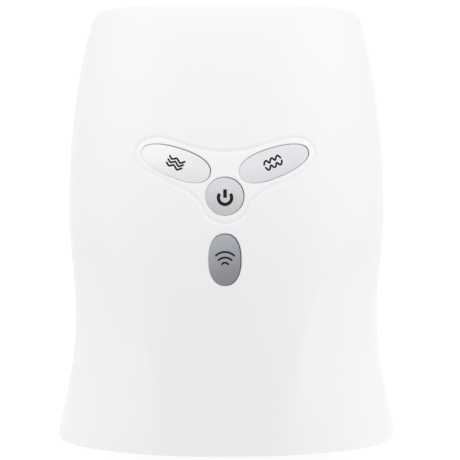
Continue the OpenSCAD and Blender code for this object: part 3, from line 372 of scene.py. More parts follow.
class Skin:
    """One skin of the body or the arch. Its chart runs across in s and from the mouth over the
    finger end's rounding down to the parting line in t."""

    # Chart half width of the widest section, and chart length of the finger end's face
    REACH, FACE = 73.4, 34.0
    # The section's exponent, the share of REACH that is seen from above, the chart length of a side
    KINDS = {"cover": (2.5, 0.9, 32.0), "base": (5.0, 0.95, 29.0), "arch": (5.0, 0.92, 38.0)}
    ARCH_ROUND = 5.0

    def __init__(self, form, kind):
        arch = kind == "arch"
        self.form, self.kind = form, kind
        self.side = DOWN if kind == "base" else UP
        self.level = form.tray_z if arch else form.part_z
        self.round = self.ARCH_ROUND if arch else form.end_round
        self.n, flat, fall = self.KINDS[kind]
        self.flat_s = flat * self.REACH
        self.max_s = self.flat_s + fall
        self.turn = (form.arch_y1 if arch else form.end_y) - self.round
        self.face_t = self.turn + self.round * math.pi / 2
        self.max_t = self.face_t + self.FACE

    def section(self, y):
        """Half width and height of the section at y."""
        form = self.form
        if self.kind == "arch":
            return curve(form.arch_sides, y), curve(form.arch_crown, y) - form.tray_z
        if self.kind == "base":
            return curve(form.sides, y), form.part_z - form.base_z
        return curve(form.sides, y), curve(form.crown, y) - form.part_z

    def point(self, s, t, d):
        """The point at the chart place (s, t), d inside the skin."""
        q = min(1.0, max(0.0, (t - self.turn) / (self.face_t - self.turn))) * math.pi / 2
        r = self.round - d
        y = min(t, self.turn) + r * math.sin(q)
        pinch = r * (1 - math.cos(q))
        drop = 1 - max(0.0, t - self.face_t) / self.FACE
        w, h = self.section(y)
        wi, hi = w - d - pinch, h - d - pinch
        if abs(s) <= self.flat_s:
            x = s / self.REACH * (w - pinch)
            z = hi * arch_share(x / wi, self.n)
        else:
            k = (abs(s) - self.flat_s) / (self.max_s - self.flat_s)
            g = arch_share(self.flat_s / self.REACH * (w - pinch) / wi, self.n) * (1 - k)
            x = math.copysign(wi * arch_share(g, self.n), s)
            z = hi * g
        if self.kind == "arch":
            return Vector((x, y, self.level + z * drop))
        if self.kind == "cover":
            z -= self.form.scoop(x, y, wi)
        z *= drop * self.side
        bowed = self.form.bow(y) * (1 - (abs(x) / w) ** 4)
        return Vector((x, y + bowed - self.form.lean(y) * z, self.level + z))

    def chart(self, x, y):
        """Chart place of the skin's point over or under (x, y)."""
        t = y
        for _ in range(10):
            s = x / self.section(t)[0] * self.REACH
            t += y - self.point(s, t, 0).y
        return s, t

    def charted(self, line):
        """Chart places of a line in plan."""
        return [self.chart(*p) for p in line]

    def face_chart(self, x, z):
        """Chart place of a point of the finger end's face."""
        w, h = self.section(self.form.end_y)
        w, h = w - self.round, h - self.round
        drop = (z - self.level) * self.side / (h * arch_share(x / w, self.n))
        return x / w * self.REACH, self.face_t + (1 - drop) * self.FACE

    def z(self, x, y, d=0.0):
        """Height of the skin over or under (x, y)."""
        s, t = self.chart(x, y)
        return self.point(s, t, d).z

    def height(self, lower, d=0.0):
        """The heights lower than the skin, or than the layer d inside it."""
        return lambda x, y: self.z(x, y, d) - lower

    def layers(self, *depths):
        """For each depth, what places a chart point that far inside the skin."""
        return [lambda s, t, d=d: self.point(s, t, d) for d in depths]

    def sheet(self, xs, x_pitches, ys, y_pitches, groups):
        """A flat sheet of the whole chart, with grid knots at xs and ys before the chart's own, and
        the closed outlines of each group cut out of it."""
        across = lines((0, *xs, self.flat_s, self.max_s), x_pitches)
        along = lines((*ys, self.turn, self.face_t, self.max_t), y_pitches)
        return flat_sheet(both_ways(across), along, groups)


# Mesh tools

def linked(name, data):
    """A new object with this data, in the scene."""
    made = bpy.data.objects.new(name, data)
    bpy.context.scene.collection.objects.link(made)
    return made


def mesh_of(bm, name):
    """Turns a bmesh into a mesh and frees it."""
    mesh = bpy.data.meshes.new(name)
    bm.to_mesh(mesh)
    bm.free()
    return mesh


def box_of(name):
    """Low corner, middle and high corner of a node's box, in millimetres."""
    low, high = (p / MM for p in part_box(name))
    return low, (low + high) / 2, high


def ring_edges(bm, ring):
    """Edges of a closed ring of vertices."""
    return [bm.edges.get((ring[i - 1], ring[i])) for i in range(len(ring))]


def extruded_ring(bm, ring, places):
    """Extrudes a closed ring of vertices once and puts the new ring at places."""
    made = bmesh.ops.extrude_edge_only(bm, edges=ring_edges(bm, ring))["geom"]
    fresh = {g for g in made if isinstance(g, bmesh.types.BMVert)}
    found = []
    for v, place in zip(ring, places):
        twin = next(o for o in (e.other_vert(v) for e in v.link_edges) if o in fresh)
        twin.co = place
        found.append(twin)
    return found


def capped(bm, ring):
    """Closes a ring with one face and a middle point."""
    face = bmesh.ops.contextual_create(bm, geom=ring_edges(bm, ring))["faces"]
    bmesh.ops.poke(bm, faces=face)


def loft(loops, closed=False):
    """A bmesh through loops of as many points each: capped at both ends, or closed on itself."""
    bm = bmesh.new()
    ring = bmesh.ops.create_circle(bm, segments=len(loops[0]), radius=1)["verts"]
    first = ring
    for v, place in zip(ring, loops[0]):
        v.co = place
    for loop in loops[1:]:
        ring = extruded_ring(bm, ring, loop)
    if closed:
        bridged(bm, first, ring)
    else:
        capped(bm, first)
        capped(bm, ring)
    bmesh.ops.recalc_face_normals(bm, faces=bm.faces)
    return bm


def bridged(bm, ring, other):
    """Joins two rings with faces."""
    bmesh.ops.bridge_loops(bm, edges=ring_edges(bm, ring) + ring_edges(bm, other))


def added(bm, part):
    """Adds another bmesh to a bmesh and frees it."""
    mesh = mesh_of(part, "part")
    bm.from_mesh(mesh)
    bpy.data.meshes.remove(mesh)


def swept(points, section, closed=False):
    """Loops of a flat section carried along a path without twist. The section's points are
    (upwards, to its side)."""
    across, loops = Vector((0, 0, 1)), []
    for p, way in zip(points, directions(points, closed)):
        across = (across - way * across.dot(way)).normalized()
        beside = way.cross(across)
        loops.append([p + across * a + beside * b for a, b in section])
    return loops


def lines(knots, pitches):
    """Grid lines through the knots, and about a pitch apart between each two of them."""
    found = []
    for start, end, pitch in zip(knots, knots[1:], pitches):
        count = max(1, round((end - start) / pitch))
        found += [start + (end - start) * i / count for i in range(count)]
    return found + [knots[-1]]


def both_ways(found):
    """Lines on one side of the middle, and their mirror images."""
    return [-x for x in reversed(found[1:])] + found


def outlined_patch(outlines, xs, ys):
    """A flat bmesh of the first outline with the others as holes, cut along the grid lines."""
    bm = bmesh.new()
    edges = []
    for line in outlines:
        verts = [bm.verts.new((p[0], p[1], 0)) for p in line]
        edges += [bm.edges.new((verts[i - 1], verts[i])) for i in range(len(verts))]
    bmesh.ops.triangle_fill(bm, edges=edges, use_beauty=True, normal=(0, 0, 1))
    for axis, values in ((0, xs), (1, ys)):
        for value in values:
            place, normal = Vector((0, 0, 0)), Vector((0, 0, 0))
            place[axis], normal[axis] = value, 1
            bmesh.ops.bisect_plane(bm, geom=bm.verts[:] + bm.edges[:] + bm.faces[:],
                                   dist=0.02, plane_co=place, plane_no=normal)
    bm.normal_update()
    bmesh.ops.reverse_faces(bm, faces=[f for f in bm.faces if f.normal.z < 0])
    return bm


def lines_round(values, found, margin=0.4):
    """The grid lines from the last one before the values to the first one after them."""
    first = max(x for x in found if x < min(values) - margin)
    last = min(x for x in found if x > max(values) + margin)
    return [x for x in found if first <= x <= last]


def flat_sheet(xs, ys, groups):
    """A flat bmesh on the grid lines, with the closed outlines of each group cut out of it."""
    bm = bmesh.new()
    bmesh.ops.create_grid(bm, x_segments=len(xs) - 1, y_segments=len(ys) - 1, size=1)
    for v in bm.verts:
        v.co.x = xs[round((v.co.x + 1) / 2 * (len(xs) - 1))]
        v.co.y = ys[round((v.co.y + 1) / 2 * (len(ys) - 1))]
    for outlines in groups:
        pxs = lines_round([p[0] for line in outlines for p in line], xs)
        pys = lines_round([p[1] for line in outlines for p in line], ys)
        mids = [(f, f.calc_center_median()) for f in bm.faces]
        inside = [f for f, m in mids if pxs[0] < m.x < pxs[-1] and pys[0] < m.y < pys[-1]]
        bmesh.ops.delete(bm, geom=inside, context="FACES")
        border = ([(x, pys[0]) for x in pxs] + [(pxs[-1], y) for y in pys[1:]]
                  + [(x, pys[-1]) for x in pxs[-2::-1]] + [(pxs[0], y) for y in pys[-2:0:-1]])
        added(bm, outlined_patch([border, *outlines], pxs[1:-1], pys[1:-1]))
    bmesh.ops.remove_doubles(bm, verts=bm.verts, dist=WELD)
    return bm


def boundary_rings(bm):
    """Closed rings of boundary vertices, the longest first."""
    left = dict.fromkeys(e for e in bm.edges if e.is_boundary)
    rings = []
    while left:
        edge = next(iter(left))
        del left[edge]
        ring = list(edge.verts)
        while True:
            step = next((e for e in ring[-1].link_edges if e in left), None)
            if step is None:
                break
            del left[step]
            ring.append(step.other_vert(ring[-1]))
        rings.append(ring[:-1] if ring[0] == ring[-1] else ring)
    return sorted(rings, key=len, reverse=True)


def sunk(bm, ring, steps):
    """Extrudes a ring by steps of (distance in plan into the ring, height at x and y)."""
    start = [v.co.copy() for v in ring]
    inward = plan_normals(start)
    for distance, height in steps:
        places = [Vector((p.x + n.x * distance, p.y + n.y * distance))
                  for p, n in zip(start, inward)]
        ring = extruded_ring(bm, ring, raised(places, height))
    return ring


def chart_layers(bm):
    """The layers that hold a plate's chart places."""
    return bm.verts.layers.float["s"], bm.verts.layers.float["t"]


def plate(bm, top, bottom, border=(), rims=()):
    """A closed plate from a flat sheet, and its top border ring. top and bottom place a chart point
    on its two skins. border holds the border's steps down from the top skin. rims holds, for each
    hole, its middle in the chart, its steps down from the top skin, and its steps from the bottom
    skin where the two are capped and not joined."""
    for layer in "st":
        bm.verts.layers.float.new(layer)
    s_layer, t_layer = chart_layers(bm)
    for v in bm.verts:
        v[s_layer], v[t_layer] = v.co.x, v.co.y
        v.co = top(v[s_layer], v[t_layer])
    bmesh.ops.remove_doubles(bm, verts=bm.verts, dist=CORNER_WELD)
    rings = boundary_rings(bm)
    made = bmesh.ops.duplicate(bm, geom=bm.verts[:] + bm.edges[:] + bm.faces[:])
    twin = made["vert_map"]
    low_rings = [[twin[v] for v in ring] for ring in rings]
    verts, faces = ([g for g in made["geom"] if isinstance(g, kind)]
                    for kind in (bmesh.types.BMVert, bmesh.types.BMFace))
    for v in verts:
        v.co = bottom(v[s_layer], v[t_layer])
    bmesh.ops.reverse_faces(bm, faces=faces)
    middles = [Vector((sum(v[s_layer] for v in ring), sum(v[t_layer] for v in ring))) / len(ring)
               for ring in rings]

    def closed(index, steps, low_steps=None):
        ring, low = sunk(bm, rings[index], steps), sunk(bm, low_rings[index], low_steps or ())
        if low_steps is None:
            bridged(bm, ring, low)
        else:
            capped(bm, ring)
            capped(bm, low)

    closed(0, border)
    for place, *steps in rims:
        nearest = min(range(1, len(rings)), key=lambda i: (middles[i] - Vector(place)).length)
        closed(nearest, *steps)
    bmesh.ops.recalc_face_normals(bm, faces=bm.faces)
    loose = [e for e in bm.edges if len(e.link_faces) != 2]
    if loose:
        near = loose[0].verts[0].co
        raise RuntimeError(f"{len(loose)} edges of a plate aren't closed, near {near}")
    return rings[0]


def lip(surface, width, depth, side=UP, count=5):
    """Steps of a rounded edge that turns down from a surface."""
    return [(width * math.sin(q),
             lambda x, y, q=q: surface(x, y) - side * depth * (1 - math.cos(q)))
            for q in (math.pi / 2 * i / count for i in range(1, count + 1))]


def dip(surface, width, depth):
    """Steps of a soft groove's side, which sinks gently from a surface to a rounded bottom."""
    return [(width * u, lambda x, y, u=u: surface(x, y) - depth * ramp(u, 0, 1))
            for u in (i / 6 for i in range(1, 7))]


def piece(name, bm, look, body, replaces=(), sharp=None):
    """Writes a bmesh in millimetres as a finished object in metres, riding on its body."""
    bmesh.ops.scale(bm, vec=(MM, MM, MM), verts=bm.verts)
    for f in bm.faces:
        f.smooth = True
    if sharp is not None:
        for e in bm.edges:
            e.smooth = len(e.link_faces) != 2 or e.calc_face_angle(0.0) < math.radians(sharp)
    made = linked(name, mesh_of(bm, name))
    made.data.materials.append(materials[look])
    if body:
        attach(made, body)
    if replaces:
        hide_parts(*replaces)
    return made


# Materials

def node(tree, kind, inputs=(), **settings):
    """Adds a shader node; inputs are sockets by name or number, as values or as other sockets."""
    made = tree.nodes.new("ShaderNode" + kind)
    for key, value in settings.items():
        setattr(made, key, value)
    for socket, value in dict(inputs).items():
        if isinstance(value, bpy.types.NodeSocket):
            tree.links.new(value, made.inputs[socket])
        else:
            made.inputs[socket].default_value = value
    return made


def maths(tree, operation, *values):
    """Output of a calculation with values or sockets."""
    return node(tree, "Math", enumerate(values), operation=operation).outputs[0]


def mapped(tree, value, start, end, low=0.0, high=1.0, **settings):
    """Output that goes from low to high as a value goes from start to end."""
    return node(tree, "MapRange", {"Value": value, "From Min": start, "From Max": end,
                                   "To Min": low, "To Max": high}, **settings).outputs[0]


def mix_of(tree, share, a, b, blend="MIX"):
    """Output of a colour mixed from a and b."""
    return node(tree, "Mix", {"Factor": share, 6: a, 7: b}, data_type="RGBA",
                blend_type=blend).outputs[2]


def object_place(tree):
    """Place in the object's own space, in metres."""
    return node(tree, "TexCoord").outputs["Object"]


def noise(tree, place, scale, detail):
    """Output of a cloudy noise."""
    cloud = node(tree, "TexNoise", {"Vector": place, "Scale": scale, "Detail": detail})
    return cloud.outputs["Fac"]


def plain(name, **sockets):
    """A material with its shader's sockets set; a socket's name has _ for a space."""
    material = bpy.data.materials.new(name)
    material.use_nodes = True
    for socket, value in sockets.items():
        shader_socket(material, socket.replace("_", " ")).default_value = value
    return material


def shader_socket(material, name):
    """An input of a material's shader."""
    return material.node_tree.nodes["Principled BSDF"].inputs[name]


def led(material, name, output):
    """Leads an output into an input of a material's shader."""
    material.node_tree.links.new(output, shader_socket(material, name))


def tinted(material, share, colour_now, blend="MIX"):
    """Mixes a colour into a finish's own, by share."""
    own = shader_socket(material, "Base Color").links[0].from_socket
    led(material, "Base Color", mix_of(material.node_tree, share, own, colour_now, blend))


def bumped(material, height, depth, strength=1.0):
    """Gives a finish a relief of a depth in millimetres."""
    led(material, "Normal", node(material.node_tree, "Bump", {
        "Height": height, "Distance": depth * MM, "Strength": strength}).outputs[0])


def finish(name, tone, roughness, mottle=0.03, mottle_scale=900.0, grain=0.0, grain_scale=6000.0,
           rough_spread=0.05, **sockets):
    """A moulded, cast or rolled finish: slight mottling of colour and gloss, and a fine grain."""
    material = plain(name, **sockets)
    tree = material.node_tree
    place = object_place(tree)
    cloud = noise(tree, place, mottle_scale, 3.0)
    dark, light = ([c * k for c in tone] + [1.0] for k in (1 - mottle, 1 + mottle))
    led(material, "Base Color", mix_of(tree, cloud, dark, light))
    led(material, "Roughness", mapped(tree, cloud, 0.0, 1.0, max(0.02, roughness - rough_spread),
                                      min(1.0, roughness + rough_spread)))
    if grain:
        bumped(material, noise(tree, place, grain_scale, 2.0), grain)
    return material


def painted_light_ramp(material, axis, start, end, low, high):
    """Paints light and shade on a finish: multiplies its colour by low at start and by high at end, both in
    millimetres along an axis."""
    tree = material.node_tree
    along = node(tree, "VectorMath", {0: object_place(tree), 1: axis}, operation="DOT_PRODUCT")
    share = mapped(tree, along.outputs["Value"], start * MM, end * MM,
                   interpolation_type="SMOOTHSTEP")
    tinted(material, 1.0, mix_of(tree, share, [*low, 1.0], [*high, 1.0]), "MULTIPLY")
    return material


def brushed(name, tone, roughness, along, **sockets):
    """A drawn or turned metal, with fine streaks along one axis."""
    material = finish(name, tone, roughness, mottle=0.05, mottle_scale=300.0, Metallic=1.0,
                      **sockets)
    tree = material.node_tree
    turned = node(tree, "Mapping", {0: object_place(tree),
                                    3: [0.04 if i == along else 1.0 for i in range(3)]})
    bumped(material, noise(tree, turned.outputs[0], 7000.0, 3.0), 0.02, 0.7)
    return material


def mixed(material, share, tone, metal_roughness=None):
    """Puts another tone on a finish where share is 1, as metal where a roughness is given."""
    tinted(material, share, [*tone, 1.0])
    if metal_roughness is not None:
        own = shader_socket(material, "Roughness").links[0].from_socket
        led(material, "Roughness", node(material.node_tree, "Mix", {
            "Factor": share, 2: own, 3: metal_roughness}).outputs[0])
        led(material, "Metallic", share)
    return material


def bands(tree, axis, period, width, wander=0.0):
    """1 on bands of a width every period along an axis, in millimetres, and 0 between them."""
    place = object_place(tree)
    split = node(tree, "SeparateXYZ", {0: place}).outputs[axis]
    if wander:
        shift = maths(tree, "MULTIPLY", noise(tree, place, 90.0, 0.0), wander * MM)
        split = maths(tree, "ADD", split, shift)
    folded = maths(tree, "PINGPONG", split, period / 2 * MM)
    return mapped(tree, folded, (width / 2 + 0.04) * MM, (width / 2 - 0.04) * MM)


def board_finish(tone, copper):
    """Solder mask over copper tracks, with tinned pads."""
    material = finish("solder mask", tone, 0.3, mottle=0.06, mottle_scale=500.0, Coat_Weight=0.3)
    tree = material.node_tree
    areas = node(tree, "TexVoronoi", {"Vector": object_place(tree), "Scale": 130.0})
    pick = node(tree, "SeparateColor", {0: areas.outputs["Color"]}).outputs[0]
    lengthwise, crosswise = (bands(tree, axis, 1.27, 0.5) for axis in (0, 1))
    tracks = node(tree, "Mix", {"Factor": mapped(tree, pick, 0.49, 0.51), 2: lengthwise,
                                3: crosswise}).outputs[0]
    mixed(material, tracks, [min(1.0, c * 1.9 + 0.01) for c in tone])
    pads = maths(tree, "MULTIPLY", bands(tree, 0, 5.08, 1.1), bands(tree, 1, 3.81, 1.1))
    return mixed(material, pads, copper, 0.25)


def film_finish(tone, copper):
    """Amber heater film with a copper track that runs to and fro."""
    material = finish("amber film", tone, 0.25, mottle=0.05, mottle_scale=200.0, Coat_Weight=0.5)
    return mixed(material, bands(material.node_tree, 0, 2.4, 1.1, wander=1.2), copper, 0.35)


def ribbon_finish(tone):
    """Ribbon lead with a red first core and a faint line between the cores."""
    material = finish("ribbon insulation", tone, 0.5, mottle=0.04, mottle_scale=400.0)
    tree = material.node_tree
    mixed(material, bands(tree, 1, 1.1, 0.16), [c * 0.6 for c in tone])
    place = node(tree, "SeparateXYZ", {0: object_place(tree)}).outputs[1]
    return mixed(material, mapped(tree, place, -3.5 * MM, -3.4 * MM), (0.5, 0.03, 0.02))


def knit(name, tone, pitch, depth):
    """A knit fabric on the piece's own UV map: rows of small loops, with sheen, painted shade in the valleys
    between the loops and painted light on their crests.
    """
    material = finish(name, tone, 0.85, mottle=0.10, mottle_scale=350.0, Sheen_Weight=0.35,
                      Sheen_Roughness=0.4)
    tree = material.node_tree
    split = node(tree, "SeparateXYZ", {0: node(tree, "UVMap", uv_map="weave").outputs["UV"]})
    across, along = split.outputs[0], split.outputs[1]

    def wave(value, period, shift=0.0):
        turned = maths(tree, "MULTIPLY", value, math.tau / (period * MM))
        return maths(tree, "SINE", maths(tree, "ADD", turned, shift))

    bend = maths(tree, "MULTIPLY", wave(across, pitch), 0.28 * pitch * MM)
    rows = wave(maths(tree, "ADD", along, bend), pitch * 1.2)
    loops = maths(tree, "ADD", rows, wave(across, pitch / 2, 0.6))
    bumped(material, loops, depth, 0.9)
    # Painted shade and light: the colour follows the loops' relief, darker in the valleys and lighter on the
    # crests
    painted_loop_shade = mapped(tree, loops, -2.0, 2.0, 0.55, 1.15)
    grey = node(tree, "CombineColor", {0: painted_loop_shade, 1: painted_loop_shade, 2: painted_loop_shade}).outputs[0]
    tinted(material, 1.0, grey, "MULTIPLY")
    return material


def form_of(context):
    """The massager's shape with the sizes of the sidebar."""
    return Form(context.scene.massager_sizes)


# The operators, one for each piece or group of like pieces

AMBIENT = 0.6
FLOOR_GLOW = 0.65
LAMP_AIM = Vector((0, 0, 0.05))
LAMPS = [("finger_end_lamp", (0, 1.6, 0.45), (2.0, 0.4), 10.1),
         ("upper_lamp", (0, 0.2, 0.75), (0.6, 0.2), 1.3),
         ("left_lamp", (-1.5, -0.6, 0.3), (1.0, 0.5), 7.5),
         ("right_lamp", (1.5, -0.6, 0.3), (1.0, 0.5), 8.7)]
# The camera looks at CAMERA_AIM. VIEW_RISE nearer to it, HALF_VIEW is seen to each side.
CAMERA_AIM, VIEW_RISE, HALF_VIEW = Vector((1.7 * MM, 0, 43 * MM)), 27 * MM, 106.85 * MM
CAMERA_TIP, CAMERA_LEAN = math.radians(0.15), math.radians(0.6)


class MASSAGER_OT_stage(bpy.types.Operator):
    """Camera nearly straight above, pale floor and plain soft studio light"""
    bl_idname = "massager.stage"
    bl_label = "Camera, floor and light"

    def execute(self, context):
        scene = context.scene
        scene.view_settings.view_transform = "Standard"
        lens = bpy.data.cameras.new("camera")
        lens.lens, lens.sensor_width, lens.clip_end = 1500, 36, 40
        camera = scene.camera = linked("camera", lens)
        toward = Vector((math.cos(CAMERA_TIP) * math.sin(CAMERA_LEAN), math.sin(CAMERA_TIP),
                         math.cos(CAMERA_TIP) * math.cos(CAMERA_LEAN)))
        camera.location = CAMERA_AIM + toward * (
            VIEW_RISE + HALF_VIEW / (lens.sensor_width / 2 / lens.lens))
        camera.rotation_euler = (-CAMERA_TIP, CAMERA_LEAN, 0)

        bm = bmesh.new()
        bmesh.ops.create_grid(bm, x_segments=8, y_segments=8, size=4)
        floor = linked("floor", mesh_of(bm, "floor"))
        floor.data.materials.append(floor_finish())

        scene.world = bpy.data.worlds.new("studio")
        scene.world.use_nodes = True
        tree = scene.world.node_tree
        sky = tree.nodes["Background"].inputs
        sky["Color"].default_value = (1, 1, 1, 1)
        tree.links.new(mapped(tree, seen_ray(tree), 0.0, 1.0, AMBIENT), sky["Strength"])

        for name, place, size, watts in LAMPS:
            data = bpy.data.lights.new(name, "AREA")
            data.shape, data.size, data.size_y, data.energy = "RECTANGLE", *size, watts
            lamp = linked(name, data)
            lamp.location = place
            lamp.rotation_euler = (LAMP_AIM - Vector(place)).to_track_quat("-Z", "Y").to_euler()
            lamp.visible_camera = lamp.visible_glossy = False
        return {"FINISHED"}


def seen_ray(tree):
    """1 for what the camera, reflections and clear materials see, and 0 for light on things."""
    path = node(tree, "LightPath").outputs
    seen = maths(tree, "MAXIMUM", path["Is Camera Ray"], path["Is Glossy Ray"])
    return maths(tree, "MAXIMUM", seen, path["Is Transmission Ray"])


def floor_finish():
    """A pale floor that shows as white where nothing shades it, and lets the underside be seen."""
    material = plain("pale floor", Base_Color=(0.6, 0.6, 0.6, 1), Roughness=0.9,
                     Specular_IOR_Level=0.0, Emission_Color=(1, 1, 1, 1))
    tree = material.node_tree
    led(material, "Emission Strength", maths(tree, "MULTIPLY", seen_ray(tree), FLOOR_GLOW))
    under = node(tree, "NewGeometry").outputs["Backfacing"]
    clear = node(tree, "BsdfTransparent").outputs[0]
    shown = tree.nodes["Principled BSDF"].outputs[0]
    sides = node(tree, "MixShader", {0: under, 1: shown, 2: clear})
    tree.links.new(sides.outputs[0], tree.nodes["Material Output"].inputs["Surface"])
    return material


class MASSAGER_OT_cover(bpy.types.Operator):
    """White upper shell with openings for the panel and the oval key"""
    bl_idname = "massager.cover"
    bl_label = "Cover"

    def execute(self, context):
        form = form_of(context)
        skin = Skin(form, "cover")
        soft, edge, seat = 1.5, 0.6, form.wall * 0.9
        openings = (grown(form.panel_outline(), 0.12 + soft),
                    form.oval_key(form.key_gap - KEY_DRAW + edge))
        bm = skin.sheet([62], (1.45, 2.0, 2.6), [form.mouth_y, -26, 48], (1.9, 1.45, 2.2, 0.9, 4.2),
                        [[skin.charted(line) for line in openings]])
        ring = plate(bm, *skin.layers(0, form.wall), rims=[
            ((0, 25), dip(skin.z, soft, GROOVE) + [(soft, skin.height(seat))]),
            ((0, form.oval_key_y), lip(skin.z, edge, 0.45) + [(edge, skin.height(seat))])])
        soften_rims(bm, ring, form)
        piece("cover", bm, "shell", "case", ["top_cover"], sharp=50)
        return {"FINISHED"}


def soften_rims(bm, ring, form):
    """Rounds a half shell's parting edge a little, so that a fine groove runs round the body."""
    edges = [e for e in ring_edges(bm, ring)
             if all(abs(v.co.z - form.part_z) < 0.01 for v in e.verts)]
    bmesh.ops.bevel(bm, geom=edges, offset=0.3, offset_type="OFFSET", segments=2, profile=0.5,
                    affect="EDGES", material=-1, clamp_overlap=False)


class MASSAGER_OT_base(bpy.types.Operator):
    """White lower shell with screw wells, foot seats and the socket's slot"""
    bl_idname = "massager.base"
    bl_label = "Base shell"

    def execute(self, context):
        form = form_of(context)
        skin = Skin(form, "base")
        wells = [(form.frame_w / 2 + 7.5, form.mouth_y + 17),
                 (form.bulge_w / 2 - 7.1, form.bulge_y), (form.end_w / 2 - 15.6, form.end_y - 7.6)]
        feet = [(form.body_w / 2 - 34, form.mouth_y + 32),
                (form.end_w / 2 - 21.6, form.end_y - 27.4)]
        # Radii of a screw's head, of its shank, of the boss round it and of a foot's seat
        head, shank, outer, foot = 2.8, 1.5, 3.6, 7.1
        edge, well_d = 0.35, 10
        rim = lip(skin.z, edge, edge, DOWN, count=3)
        seat, top = level(form.part_z - well_d), level(form.part_z - 0.1)
        well = rim + [(head + edge - r, height) for r, height in (
            (head, seat), (shank, seat), (shank, top), (outer, top),
            (outer, skin.height(-form.wall - 0.6)))]
        sole = rim + [(edge, level(form.base_z + 1))]
        inside = [(-1.4, level(form.base_z + 3)), (-1.4, level(form.base_z + 3.2))]
        holes, rims = [], []
        for middles, r, count, steps in ((wells, head, 32, [well]),
                                         (feet, foot, 48, [sole, inside])):
            for x, y in [(side * x, y) for side in (-1, 1) for x, y in middles]:
                holes.append([skin.charted(circle((x, y), r + edge, count))])
                rims.append((skin.chart(x, y), *steps))
        socket = slot_outline(9.6, 3.9, box_of("charging_socket")[1].z)
        slot = [skin.face_chart(x, z) for x, z in socket]
        bm = skin.sheet([50], (2.0, 1.6, 2.6), [form.mouth_y, -50, 66], (1.9, 2.6, 1.9, 0.9, 2.4),
                        [*holes, [slot]])
        ring = plate(bm, *skin.layers(0, form.wall), rims=[*rims, (slot[0], ())])
        soften_rims(bm, ring, form)
        piece("base", bm, "shell", "case", ["base_shell"], sharp=50)
        return {"FINISHED"}


def slot_outline(width, height, z):
    """A slot with round ends at a height, seen along the body."""
    half, r = (width - height) / 2, height / 2
    return [(math.copysign(half, math.cos(q)) + r * math.cos(q), z + r * math.sin(q))
            for q in turns(32, 0.5)]


class MASSAGER_OT_panel(bpy.types.Operator):
    """White three-armed panel with the openings of the upper keys"""
    bl_idname = "massager.panel"
    bl_label = "Key panel"

    def execute(self, context):
        form = form_of(context)
        skin = Skin(form, "cover")
        soft, edge, flange_w, flange_t = 1.6, 0.5, 1.6, 1.2
        under = form.wall + SEAT_STEP + flange_t
        outlines = [grown(form.panel_outline(), 0.1 - soft)]
        outlines += [key(form.key_gap - KEY_DRAW + edge)
                     for key in (form.left_key, form.right_key, form.round_key)]
        bm = bmesh.new()
        added(bm, outlined_patch([skin.charted(line) for line in outlines],
                                 both_ways(lines((0, 49), [1.45])), lines((-3, 49), [1.45])))
        border = dip(skin.z, -soft, GROOVE) + [
            (-soft, skin.height(SEAT_STEP, form.wall)),
            (-soft - flange_w, skin.height(SEAT_STEP, form.wall)),
            (-soft - flange_w, skin.height(SEAT_STEP + flange_t, form.wall))]
        hole = lip(skin.z, edge, 0.3, count=4) + [(edge, skin.height(0, under - 0.1))]
        middles = [(-form.slant_key_x, form.slant_key_y), (form.slant_key_x, form.slant_key_y),
                   (0, form.power_key_y)]
        plate(bm, *skin.layers(0, under), border, [(skin.chart(*m), hole) for m in middles])
        piece("panel", bm, "panel", "case", ["button_panel"], sharp=50)
        return {"FINISHED"}


class Key:
    """One key: its outline, place, outer half sizes and the height of its retaining lip."""

    # The rounded edge of the face: its width, its height over the cover and its fall
    EDGE, RIM, FALL = 0.5, 0.12, 0.26
    # The ledge below the edge: its depth and width. The retaining lip: its width and thickness.
    LEDGE, LEDGE_W, LIP_W, LIP_T = 0.55, 0.16, 1.0, 0.8
    STEM_R = 2.0

    def __init__(self, form, skin, outline, middle, half, tilt, lip_z):
        self.form, self.skin = form, skin
        self.outline = lambda grow=0.0: [p + KEY_REST for p in outline(grow)]
        self.middle, self.half, self.tilt = Vector(middle) + KEY_REST, half, tilt
        self.lip_z = lip_z

    def top(self, x, y):
        """Height of the cap's face, a shallow dome that follows the cover."""
        d = Vector((x, y)) - self.middle
        u = d.x * math.cos(self.tilt) + d.y * math.sin(self.tilt)
        v = -d.x * math.sin(self.tilt) + d.y * math.cos(self.tilt)
        a, b = (h - self.EDGE for h in self.half)
        share = min(1.0, (abs(u / a) ** KEY_N + abs(v / b) ** KEY_N) ** (1 / KEY_N))
        rise = (self.form.key_proud - self.RIM) * (1 - share ** KEY_DOME_N)
        return self.skin.z(x, y) + self.RIM + rise

    def loops(self):
        """Rings from the middle of the face over the edge, down to the lip and in to the stem."""
        height, outline, middle = self.skin.height, self.outline, self.middle
        inner = outline(-self.EDGE - KEY_DRAW)
        rings = [([middle + (p - middle) * share for p in inner], self.top)
                 for share in (0.1, 0.25, 0.4, 0.54, 0.66, 0.76, 0.85, 0.93)]
        for share in (0.0, 0.3, 0.58, 0.8, 0.94, 1.0):
            fall = self.FALL * (1 - math.sqrt(1 - share ** 2))
            rings.append((outline(self.EDGE * (share - 1) - KEY_DRAW), height(fall - self.RIM)))
        ledge, low = self.LEDGE_W - KEY_DRAW, self.lip_z - self.LIP_T
        rings += [(outline(grow), at) for grow, at in (
            (-KEY_DRAW, height(self.LEDGE)), (ledge, height(self.LEDGE)),
            (ledge, height(self.LEDGE + 0.5)), (0.0, level(self.lip_z)),
            (self.LIP_W, level(self.lip_z)), (self.LIP_W, level(low)))]
        stem = [middle + (p - middle).normalized() * self.STEM_R for p in outline()]
        rings += [(stem, level(low)), (stem, level(box_of("power_plunger")[2].z))]
        return [raised(points, at) for points, at in rings]


